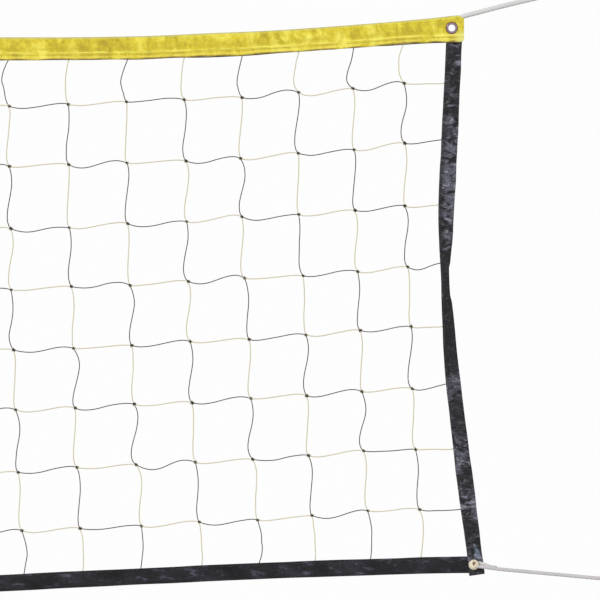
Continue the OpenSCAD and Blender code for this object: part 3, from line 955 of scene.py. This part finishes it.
def bar(a, b, way, slack, steps, seed):
    """One bar of netting between two crossings, bent where it leaves one knot and enters the next."""
    start, end = POINTS[a], POINTS[b]
    bent = np.linalg.norm(end - start)
    if way == "down" and not (in_netting(a) and in_netting(b)):
        bent = bent * BAND_SLACK
    leave = bent * slack[0] * (1 + 0.7 * noise(a[0] * 5.3, a[1] * 3.1 + seed, 21))
    enter = bent * slack[1] * (1 + 0.7 * noise(b[0] * 4.7, b[1] * 6.9 + seed, 22))
    out = heading(a, LEAVING if in_netting(a) else AT_BAND, way, 23 + seed)
    into = heading(b, ARRIVING if in_netting(b) else AT_BAND, way, 25 + seed)
    t = np.linspace(0, 1, steps + 1)[:, None]
    handles = [start, start + out * leave, (start + end) / 2, end - into * enter, end]
    line = sum(math.comb(4, n) * (1 - t) ** (4 - n) * t**n * p for n, p in enumerate(handles))
    wave = 0.7 * MM * noise(t * 5 + a[0] * 3.3, a[1] * 2.7 + seed, 24) * np.sin(math.pi * t)
    return line + wave * [1, 0.6, 1]


def stairs(parity, slack, steps, seed):
    """Every twine of one colour: each goes down a bar, right a bar and so on to the net's edge."""
    starts = [((k, 0), "down") for k in range(1, KNOT_COLUMNS + 1) if k % 2 == parity]
    starts += [((KNOT_COLUMNS + 1, j), "right") for j in range(1, KNOT_ROWS + 1) if j % 2 == parity]
    lines = []
    for at, way in starts:
        bars = []
        while not bars or in_netting(at):
            to = (at[0], at[1] + 1) if way == "down" else (at[0] - 1, at[1])
            points = bar(at, to, way, slack, steps, seed)
            bars.append(points[1:] if bars else points)
            at, way = to, "right" if way == "down" else "down"
        lines.append(np.vstack(bars))
    return lines


def small_loop(name, points, radius, material):
    """A short closed loop of twine, the shape of one knot."""
    tangents = unit(np.roll(points, -1, 0) - np.roll(points, 1, 0))
    across = unit(np.cross(tangents, [0.2, 1.0, 0.1]))
    directions = (across, np.cross(across, tangents))
    radii = np.full((len(points), KNOT_TWINE_SIDES), radius)
    return tube(name, points, directions, radii, np.arange(len(points)) * MM, material, closed=True)


def trefoil(width, depth, count):
    t = round_angles(count)
    x = np.sin(t) + 2 * np.sin(2 * t)
    z = np.cos(t) - 2 * np.cos(2 * t)
    return np.stack([x * width / 3, -np.sin(3 * t) * depth, z * width / 3], 1)


def knots(name, points, radius, material):
    """A small loop of twine at every crossing, each turned and sized a little differently."""
    shape = small_loop("one of " + name, points, radius, material)
    spots = [(k, j) for k in range(1, KNOT_COLUMNS + 1) for j in range(1, KNOT_ROWS + 1)]
    mesh = chains(name, [[POINTS[spot]] for spot in spots])
    k, j = np.array(spots).T
    lean = 0.35 * noise(k * 3.1, j * 2.3, 31)
    turn = math.radians(45) + 0.6 * noise(k * 4.1, j * 5.7, 32)
    roll = 0.35 * noise(k * 5.9, j * 3.3, 33)
    give_points(mesh, "turn", np.stack([lean, turn, roll], 1))
    give_points(mesh, "size", 1 + 0.14 * noise(k * 2.9, j * 7.7, 34))
    made = KNOT_TREE.grow(name, mesh, Shape=shape, Material=material)
    bpy.data.objects.remove(shape)
    return made


def netting():
    """Two sets of stepped twine, and a half of each knot in each colour."""
    wrap = trefoil(1.85 * MM, 0.8 * MM, 12) * [1.3, 1, 0.9]
    a = round_angles(8)
    hoop = np.stack([1.3 * np.cos(a) + 0.9, 1.0 * np.sin(a) + 0.4, 2.3 * np.sin(a) + 0.5], 1) * MM
    dark = stairs(0, slack=(0.33, 0.19), steps=14, seed=0)
    pale = stairs(1, slack=(0.2, 0.13), steps=10, seed=40)
    return [
        twine("dark_netting_twine", dark, DARK_R, DARK_TWINE),
        twine("yellow_netting_twine", pale, PALE_R, PALE_TWINE),
        knots("dark_half_of_knots", wrap, DARK_KNOT_R, KNOTTED_TWINE),
        knots("yellow_half_of_knots", hoop, PALE_KNOT_R, PALE_TWINE),
    ]


def hem_twine():
    """The brown twine that shows along the sleeve's hem."""
    x = np.arange(RIGHT_X - HEM_TWINE_IN, LEFT_X + HEM_TWINE_IN, -8 * MM)
    y = 0.3 * MM * noise(x / 0.05, 0, 61)
    z = hem_z_at(x) + 0.5 * MM + 1.6 * MM * noise(x / 0.06, 0, 62)
    return twine("brown_twine_along_hem", [np.stack([x, y, z], 1)], HEM_TWINE_R, HEM_TWINE)


# ---------------------------------------------------------------- folded tapes

FINE_REACH = 1000 * MM
COARSE_STEP = 9 * MM
CUTTER_REACH = 30 * MM


class Fold:
    """A tape folded in two, at stations along it: open at 0 across it, folded at its width."""

    def __init__(self, width, hem, fold, flat, relief, place, lift=0.0):
        """The gap between the leaves is hem up to flat, and grows from there to fold.

        relief gives how far the cloth stands out, at a distance across it and on a face. place turns
        distances out from the tape's middle and across it into points. lift raises the open edge.
        """
        sizes = [(size + 0 * width)[:, None] for size in (width, hem / 2, fold / 2, flat, lift)]
        self.width, self.hem, self.fold, self.flat, self.lift = sizes
        self.turn = self.width - self.fold - LEAF_T
        self.relief = relief
        self.place = place

    def leaf(self, across, face, off=LEAF_T):
        """How far a leaf lies from the tape's middle, with its relief on the outside only."""
        grow = clamp((across - self.flat) / (self.turn - self.flat))
        shape = lerp(self.hem, self.fold, grow) + off
        if not off:
            return shape
        return shape + self.relief(across, face) * (1 - ease((across / self.turn - 0.82) / 0.18))

    def skin(self, shares, round_steps, off):
        """One side of the cloth from the front's open edge over the fold to the back's."""
        across = self.lift + shares[None] * (self.turn - self.lift)
        angle = np.arange(1, round_steps) * math.pi / round_steps
        r = self.fold + off
        out = [-self.leaf(across, -1, off), -r * np.cos(angle), self.leaf(across, 1, off)[:, ::-1]]
        return np.hstack(out), np.hstack([across, self.turn + r * np.sin(angle), across[:, ::-1]])

    def cloth(self, name, along, shares, round_steps, material, rim_w=None):
        """The tape as a piece, with the distances along and across it as its UV map."""
        outer = self.skin(shares, round_steps, LEAF_T)
        inner = self.skin(np.linspace(0, 1, 4), 4, 0)
        out, across = [np.hstack([a, b[:, ::-1]]) for a, b in zip(outer, inner)]
        uv = np.stack([along[:, None] + 0 * across, across], -1)
        # rim: how near a place lies to the fold; the sleeve paints its shade there
        rim = {"rim": clamp(1 - (self.width - across) / rim_w).ravel()} if rim_w else {}
        return loft(name, self.place(out, across), material, uv, **rim)

    def seam(self, across, *stretches):
        """Lines of stitching on both faces, over each of some stretches of the stations."""
        across = across + 0 * self.width
        lines = [self.place(face * (self.leaf(across, face) + STITCH_LIFT), across) for face in FACES]
        return [line[stretch].reshape(-1, 3) for line in lines for stretch in stretches]


def end_stations(length, fine):
    """Distances from one end to the other, finer near both ends."""
    near_end = np.arange(0, FINE_REACH, fine)
    count = int(round((length - 2 * FINE_REACH) / COARSE_STEP))
    between = np.linspace(FINE_REACH, length - FINE_REACH, count + 1)
    return np.concatenate([near_end, between, (length - near_end)[::-1]])


def sleeve_ruffle(x, h, seed):
    """How far the sleeve's cloth stands out from its flat shape, at x and at height h above the hem."""
    u, v = x / MM, h / MM
    drift = 0.35 * noise(u / 40, v / 25, seed + 5)
    soft = 1.15 * noise(u / 23 + drift + v / 60, v / 24, seed)
    small = 0.32 * noise(u / 9 + drift, v / 20, seed + 1)
    ripple = 0.45 * noise(u / 5.5, v / 30, seed + 2) * bump((v - 7) / 4.5)
    crease_on = clamp(3 * noise(u / 62, 0, seed + 3) - 0.9)
    crease = -1.6 * crease_on * bump(noise(u / 16 + 0.02 * v, 0, seed + 4) / 0.16) * ease((v - 8) / 6)
    rows = -0.7 * bump((v - UPPER_SEAM) / 0.9) - 0.4 * bump((v - LOWER_SEAM) / 0.9)
    swell = 0.5 * bump((v - 12.5) / 2.4) + 0.3 * bump((v - 2.8) / 1.6)
    pucker = 0.85 * bump(from_column(x) / MM / 2.6) * np.exp(-np.maximum(v, 0) / 15)
    calm = 1 - 0.6 * bump(from_end(x) / (45 * MM))
    return (soft + small + ripple + crease + rows + swell + pucker) * calm * MM


def top_sleeve():
    """The yellow sleeve, the lines of its own seams and those of the orange ones near its ends."""
    length = RIGHT_X - LEFT_X
    corner = CORNER_R * (1 - np.cos(np.radians(np.arange(0, 91, 18))))
    body = end_stations(length, 4 * MM)
    body = body[(body > CORNER_R + 1 * MM) & (body < length - CORNER_R - 1 * MM)]
    x = RIGHT_X - np.concatenate([corner, body, (length - corner)[::-1]])
    d = from_end(x)
    width = top_w_at(x)
    closed = ease((d - PARALLEL_L) / CLOSING_L)
    lift = np.where(d < CORNER_R, CORNER_R - np.sqrt(np.maximum(0, CORNER_R**2 - (CORNER_R - d) ** 2)), 0)
    wave_top = (0.5 * MM * noise(x / 0.11, 0, 41) * ease(d / 0.05))[:, None]
    wave_low = ((0.6 * noise(x / 0.07, 0, 42) + 0.3 * noise(x / 0.02, 0, 43)) * MM * ease(d / 0.05))[:, None]

    def relief(across, face):
        out = sleeve_ruffle(x[:, None], across, 60 + 10 * face)
        return np.maximum(out + 0.5 * MM, -0.35 * MM)

    def place(out, across):
        share = across / width[:, None]
        z = (top_z(x) - width)[:, None] + across + wave_top * share + wave_low * (1 - share)
        return np.stack([x[:, None] + 0 * across, out, z], -1)

    flat = lerp(width - THROAT_L, HEM_W, closed)
    fold = Fold(width, lerp(COVER_GAP, HEM_GAP, closed), SLEEVE_GAP, flat, relief, place, lift)
    shares = np.concatenate([[0, 0.03], np.linspace(0.07, 1, 19)])
    piece = fold.cloth("yellow_top_sleeve", x, shares, 8, SLEEVE, rim_w=5 * MM)
    lines = [line for height in (UPPER_SEAM, LOWER_SEAM) for line in fold.seam(height * MM, d > SEAM_IN)]
    at_left, at_right = x < MIDDLE_X, x > MIDDLE_X
    for here in (at_left, at_right):
        upright = np.argmin(np.abs(d - BOX_UPRIGHT_IN) + ~here)
        lines += fold.seam(BOX_HEIGHTS[None], upright)
        lines += fold.seam(BOX_TOP, here & (d > SEAM_IN) & (d < BOX_L))
    near_end = (d > ACCENT_IN) & (d < ACCENT_L)
    accents = fold.seam(width[:, None] - ACCENT_DOWN, near_end & at_right, near_end & at_left)
    return piece, lines, accents


def vinyl_crinkle(across, along, seed):
    """Crumpled vinyl: how far it stands out, at a distance across the tape and along it."""
    a, s = across / MM, along / MM
    bend = 0.5 * noise(s / 17, a / 13, seed + 3)
    big = 1.9 * (ridges(s / 19 + bend, a / 17 + bend, seed) - 0.55)
    middle = 0.75 * (ridges(s / 9 - bend, a / 10, seed + 1) - 0.5)
    small = 0.1 * noise(s / 3.4, a / 3.4, seed + 2)
    return (big + middle + small) * MM


def side_band(name, here, seed):
    """A black side band and the lines of its seam."""
    tucked_in = np.linspace(HEM_Z + TUCK, HEM_Z + 2 * MM, 4)
    z = np.concatenate([tucked_in, np.arange(HEM_Z, SIDE_LOW_Z, -1.9 * MM), [SIDE_LOW_Z]])
    share = side_share(z)
    gap = lerp(COVER_GAP, HEM_GAP, ease((z - TAPE_END_Z - BOTTOM_W - CLEAR) / OPENING_L))
    inner_x, outer_x = side_edges(z)
    width = outer_x - inner_x
    ragged = 0.4 * MM * np.array([noise(z / 0.026, 0, seed + 10), noise(z / 0.03, 0, seed + 11)])[..., None]
    calm = ease((HEM_Z - z) / (6 * MM)) * ease((z - SIDE_LOW_Z) / (3 * MM))
    amount = (calm * lerp(0.55, 1.0, ease(np.abs(share - 0.5) / 0.2)))[:, None]
    ridge = (1.6 * MM * bump((share - 0.478) / 0.006) + 1.0 * MM * bump((share - 0.875) / 0.005))[:, None]
    slant = (3.6 * MM * (1 - ease((z - SIDE_LOW_Z) / (40 * MM))))[:, None]

    def relief(across, face):
        out = vinyl_crinkle(across, z[:, None], seed + 10 + 10 * face) * amount + ridge
        return np.maximum(out * lerp(0.35, 1, ease(across / (2.5 * MM))), -0.3 * MM)

    def place(out, across):
        share_across = across / width[:, None]
        x = inner_x[:, None] + across + lerp(ragged[0], ragged[1], share_across)
        return here(np.stack([x, out, z[:, None] + slant * share_across], -1))

    fold = Fold(width, gap, gap, HEM_W, relief, place)
    lines = fold.seam(SIDE_SEAM * MM, (z < HEM_Z + 1 * MM) & (z > SIDE_LOW_Z + 4 * MM))
    return fold.cloth(name, z, np.linspace(0, 1, 17), 7, VINYL), lines


def bottom_tape():
    """The black tape along the net's foot and the lines of its seam."""
    x = TAPE_RIGHT_X - end_stations(2 * (TAPE_RIGHT_X - MIDDLE_X), 4.5 * MM)
    wave_top = (0.35 * MM * noise(x / 0.045, 0, 91))[:, None]
    wave_low = (0.4 * MM * noise(x / 0.06, 0, 92))[:, None]
    calm = ease((from_end(x) - 0.03) / 0.02)[:, None]

    def relief(across, face):
        u, v, seed = x[:, None] / MM, across / MM, 95 + 2 * face
        soft = 0.3 * noise(u / 24, v / 20, seed) + 0.16 * noise(u / 7, v / 10, seed + 1)
        furrow = -0.3 * bump((v - BOTTOM_SEAM) / 0.8)
        column = from_column(x)[:, None] / MM - 30
        return np.maximum(soft + furrow + 0.5 * bump(column / 3) * np.exp(-v / 9), -0.35) * calm * MM

    def place(out, across):
        z = bottom_z(x)[:, None] + BOTTOM_W - across + lerp(wave_top, wave_low, across / BOTTOM_W)
        return np.stack([x[:, None] + 0 * across, out, z], -1)

    fold = Fold(BOTTOM_W + 0 * x, HEM_GAP, HEM_GAP, HEM_W, relief, place)
    lines = fold.seam(BOTTOM_SEAM * MM, from_end(x) > 35 * MM)
    return fold.cloth("black_bottom_tape", x, np.linspace(0, 1, 13), 6, TAPE), lines


def prism(outline):
    """A cutter through the net, with an outline in X and Z."""
    rings = np.array([[[x, face * CUTTER_REACH, z] for x, z in outline] for face in FACES])
    return loft("cutter", rings, SLEEVE)


def eyelet_hole(place):
    angle = round_angles(40)
    x = place[0] + EYELET_HOLE_R * np.cos(angle)
    z = place[2] + EYELET_HOLE_R * np.sin(angle)
    return prism(np.stack([x, z], 1))


def cut_corner(here):
    """The slanted cut in the sleeve's upper corner."""
    near_x, far_x = RIGHT_X - MOUTH_L, RIGHT_X + 2 * MM
    low, high = TOP_END_Z - MOUTH_H, TOP_END_Z + 2 * MM
    outline = [[near_x, TOP_END_Z], [near_x, high], [far_x, high], [far_x, low], [RIGHT_X, low]]
    return prism([here([x, 0, z])[[0, 2]] for x, z in outline])


def punched(piece, cutters):
    """Cuts holes and corners out of a tape."""
    for cutter in cutters:
        modifier = piece.modifiers.new("hole", "BOOLEAN")
        modifier.operation = "DIFFERENCE"
        modifier.solver = "EXACT"
        modifier.object = cutter
    made = evaluated(piece)
    piece.modifiers.clear()
    piece.data = made
    for cutter in cutters:
        bpy.data.objects.remove(cutter)
    return piece


# ---------------------------------------------------------------- ropes and their knots


def route_from(start, route):
    return np.array([[x, 0, z] for x, z in route]) * MM + start


def slope_of(route):
    """The angle at which a route ends."""
    (x_before, z_before), (x, z) = route[-2:]
    return math.atan2(z - z_before, x - x_before)


TOP_ANGLE = slope_of(TOP_ROUTE)
LOW_ANGLE = slope_of(LOW_ROUTE)


def placed(points, angle, origin):
    """Points drawn along X, turned up by the angle and moved to the origin."""
    x, y, z = np.asarray(points, float).T
    c, s = math.cos(angle), math.sin(angle)
    return np.stack([x * c - z * s, y, x * s + z * c], 1) + origin


def eye_route(rope_r, length, eye_r):
    """Two strands that leave the knot side by side and close round the crown."""
    crown_x = rope_r - eye_r
    gap = rope_r + CLEAR
    t = np.linspace(0, 1, 9)[:-1]
    x = lerp(2 * MM - length, crown_x, t)
    z = lerp(gap, eye_r, ease(t))
    upper = [[-length - 3 * MM, 0, gap], [-length, 0, gap], *([a, 0, b] for a, b in zip(x, z))]
    angles = np.radians(np.linspace(90, -90, 13))
    crown = [[crown_x + eye_r * math.cos(a), 0, eye_r * math.sin(a)] for a in angles]
    return np.array(upper + crown + [[a, 0, -b] for a, _, b in reversed(upper)])


def wound_route(rope_r, length, diameter):
    """Rope wound round itself: a helix that starts and ends at the middle of the knot's ends."""
    turns = (length - 1.6 * rope_r) / (1.95 * rope_r)
    t = np.linspace(0, 1, 44)
    radius = (diameter / 2 - rope_r) * np.minimum(1, np.minimum(t, 1 - t) * 9)
    angle = t * turns * TURN
    x = lerp(rope_r * 0.8, length - rope_r * 0.8, t)
    return np.stack([x, radius * np.cos(angle), radius * np.sin(angle)], 1)


def tie_knot_route():
    """A coil seen end on, wound towards the front, where it closes in a spiral."""
    t = np.linspace(0, 1, 44)
    stages = ([4.8, -3.0, -4.2], [5.2, 5.2, 1.0], [0.4, 0.4, -1.0])
    y, ring_r, drop = [np.interp(t, [0, 0.62, 1], stage) * MM for stage in stages]
    angle = math.radians(60) - (1 - t) * 2.6 * TURN
    coil = np.stack([ring_r * np.cos(angle), y, ring_r * np.sin(angle) + drop], 1)
    return np.vstack([[[2 * MM, 6.5 * MM, 0]], coil])


def loop_route():
    """From the knot through the eyelet, behind the side band and round its edge to the knot again."""
    front_y = TIE[1]
    back_y = COVER_T / 2 + CLEAR + WASHER_T + LOW_ROPE_R + 2 * MM
    strand_y = front_y + 2 * LOW_ROPE_R + CLEAR
    edge_turn_x = SIDE_W + 3 * MM
    mid_y = (back_y + strand_y) / 2
    turn_r = (back_y - strand_y) / 2
    bend = 5 * MM
    quarter = [(t, math.radians(90 * t)) for t in np.linspace(0.25, 1, 4)]
    points = [[0, front_y + TIE_D / 2, 0], [0, -COVER_T / 2, 0], [0, back_y - bend, 0]]
    for t, a in quarter:
        points.append([bend * (1 - math.cos(a)), back_y - bend * (1 - math.sin(a)), -TIE_DROP * t])
    for a in np.radians(np.linspace(90, -90, 9)):
        points.append([edge_turn_x + turn_r * math.cos(a), mid_y + turn_r * math.sin(a), -TIE_DROP])
    for t, a in quarter:
        rise = lerp(-TIE_DROP, 3.4 * MM, math.sin(a))
        points.append([lerp(edge_turn_x, TIE_L / 2, t), strand_y - 2.8 * MM * t**2, rise])
    return np.array(points)


def rope_ends(name, here, seed):
    """The ropes, knots and eyes of one end; gives each cord's rope, line, start, size and other pieces."""

    def piece(label, node, route, rope_r, material, slot="rope", **options):
        rope = rope_piece(f"{label}_{name}", here(route), rope_r, material, seed=seed, **options)
        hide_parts(f"{node}_{name}")
        return rope

    knot_line = placed(tie_knot_route(), LOW_ANGLE, TIE)
    loop_line = placed(loop_route(), LOW_ANGLE, [TIE[0], 0, TIE[2]])
    tie = piece("tie_cord_knot", "tie_knot", knot_line, LOW_ROPE_R, TIE_ROPE, "tie_rope", relief=0.07)
    loop = piece("tie_cord_loop", "tie_loop", loop_line, LOW_ROPE_R, LOOP_ROPE, "tie_rope", relief=0.05)
    in_mouth = on_headline(RIGHT_X - np.array([15, 12, 8, 4]) * MM)
    top_start = [RIGHT_X, 0, headline_z(RIGHT_X)]
    top_line = np.vstack([in_mouth, route_from(top_start, TOP_ROUTE)])
    in_knot, low_start = placed([[TIE_L / 2 - x, 0, -TIE_DROP] for x in (4 * MM, 0)], LOW_ANGLE, TIE)
    low_line = np.vstack([in_knot, route_from(low_start, LOW_ROUTE)])
    made = []
    for level, line, start, angle, rope_r, eye_l, eye_r, material, extra in (
        ("top", top_line, top_start, TOP_ANGLE, HEADLINE_R, TOP_EYE_L, TOP_EYE_R, ROPE, []),
        ("bottom", low_line, low_start, LOW_ANGLE, LOW_ROPE_R, LOW_EYE_L, LOW_EYE_R, LOW_ROPE, [tie, loop]),
    ):
        knot_l = KNOT_TURNS * 2 * rope_r
        tip = placed([[knot_l + eye_l, 0, 0]], angle, line[-1])[0]
        wound = wound_route(rope_r, knot_l, KNOT_SWELL * 2 * rope_r) - [knot_l + eye_l, 0, 0]
        eye = eye_route(rope_r, eye_l, eye_r)
        rope = piece(f"{level}_cord", f"{level}_rope", line, rope_r, material)
        knot = piece(f"{level}_cord_knot", f"{level}_knot", placed(wound, angle, tip), rope_r, material)
        crown = piece(f"{level}_cord_eye", f"{level}_eye", placed(eye, angle, tip), rope_r, material)
        made.append((rope, here(line), here(start), 2 * rope_r, [knot, crown, *extra]))
    return made


def headline_rope():
    """The rope inside the sleeve, with few sides because it is hidden."""
    x = np.arange(RIGHT_X - MOUTH_L, LEFT_X + MOUTH_L, -7.5 * MM)
    return rope_piece("headline_cord", on_headline(x), HEADLINE_R, ROPE, sides=10, step=6 * MM, relief=0)


# ---------------------------------------------------------------- the object

# each end's name, how its points are placed, and the seeds of its band and its ropes
ENDS = [("right", np.asarray, 110, 210), ("left", mirrored, 160, 230)]

pieces = []


def keep(piece, replaced=None):
    """Takes a piece into the object, and hides the CAD node that it stands for."""
    if replaced:
        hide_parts(replaced)
    pieces.append(piece)
    return piece


for number, made in enumerate(netting()):
    keep(made, "net_mesh" if number == 0 else None)
keep(hem_twine())

sleeve, sleeve_lines, accent_lines = top_sleeve()
cutters = [eyelet_hole(here(TOP_EYELET)) for _, here, _, _ in ENDS]
cutters += [cut_corner(here) for _, here, _, _ in ENDS]
keep(punched(sleeve, cutters), "top_band")
sleeve_seam = keep(seam("sleeve_seams", sleeve_lines, YELLOW_THREAD))
accent_seam = keep(seam("orange_end_seams", accent_lines, ORANGE_THREAD))

tape, tape_lines = bottom_tape()
keep(punched(tape, [eyelet_hole(here(LOW_EYELET)) for _, here, _, _ in ENDS]), "bottom_band")
tape_seam = keep(seam("bottom_tape_seams", tape_lines, BLACK_THREAD))

side_lines = []
for name, here, seed, _ in ENDS:
    band, lines = side_band(f"black_side_band_{name}", here, seed)
    punched(band, [eyelet_hole(here(LOW_EYELET))])
    keep(band, f"side_band_{name}")
    side_lines += lines
side_seam = keep(seam("side_band_seams", side_lines, BLACK_THREAD))

headline = keep(headline_rope(), "headline_rope")
cords = [cord for name, here, _, seed in ENDS for cord in rope_ends(name, here, seed)]
for rope, _, _, _, extra in cords:
    pieces += [rope, *extra]

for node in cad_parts.values():
    if node.name.startswith(("eyelet_", "washer_")):
        node.data.materials.clear()
        # the bottom eyelets take the darker copy, with its painted shade
        node.data.materials.append(METAL if "_top_" in node.name else DULL_METAL)

for piece in pieces:
    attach(piece, "root")

for rope, line, start, diameter, extra in cords:
    path = resample(line, 4 * MM)
    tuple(start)
    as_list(extra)

# ---------------------------------------------------------------- floor, light and camera

PALE = (0.985, 0.985, 0.985)
WHITE = (1.0, 1.0, 1.0)
FLOOR_Z = -2.3
FLOOR_L = 40
FLOOR_W = 19
CAMERA_AWAY = 15.0
CAMERA_IN = 0.2685
CAMERA_DOWN = 0.4672
VIEW_W = 0.9822
SENSOR_MM = 36


def floor():
    bpy.ops.mesh.primitive_plane_add(size=1, location=(MIDDLE_X, 0, FLOOR_Z))
    made = bpy.context.object
    made.name = "floor"
    made.data.transform(Matrix.Diagonal((FLOOR_L, FLOOR_W, 1, 1)))
    s = Shader("pale floor")
    s.finish(s.mix(s.grain(s.place, 3.0), (0.66, 0.655, 0.65), (0.71, 0.705, 0.70)), 0.8)
    made.data.materials.append(s.material)


def studio():
    """A plain world that looks pale from the camera, and three soft lamps."""
    world = bpy.data.worlds.new("studio")
    bpy.context.scene.world = world
    world.use_nodes = True
    world.node_tree.nodes.clear()
    w = Nodes(world.node_tree)
    seen = w.node("ShaderNodeBackground", {}, {"Color": PALE})
    lit = w.node("ShaderNodeBackground", {}, {"Color": WHITE, "Strength": 0.46})
    direct = w.node("ShaderNodeLightPath", output="Is Camera Ray")
    through = w.node("ShaderNodeLightPath", output="Is Transmission Ray")
    w.node("ShaderNodeOutputWorld", {}, [w.node("ShaderNodeMixShader", {}, [direct + through, lit, seen])])
    for name, strength, spread, turns in (
        ("front softbox", 2.2, 16, (67, 0, -38)),
        ("side softbox", 0.55, 24, (70, 0, 55)),
        ("back softbox", 0.6, 30, (-55, 0, 20)),
    ):
        lamp = bpy.data.lights.new(name, "SUN")
        lamp.energy = strength
        lamp.angle = math.radians(spread)
        add_object(name, lamp).rotation_euler = [math.radians(turn) for turn in turns]


def camera():
    data = bpy.data.cameras.new("camera")
    data.sensor_width = SENSOR_MM
    data.lens = SENSOR_MM * CAMERA_AWAY / VIEW_W
    made = add_object("camera", data)
    made.location = (RIGHT_X - CAMERA_IN, -CAMERA_AWAY, TOP_END_Z - CAMERA_DOWN)
    made.rotation_euler = (math.pi / 2, 0, 0)
    bpy.context.scene.camera = made


floor()
studio()
camera()
bpy.context.scene.view_settings.view_transform = "Standard"

bpy.context.view_layer.update()
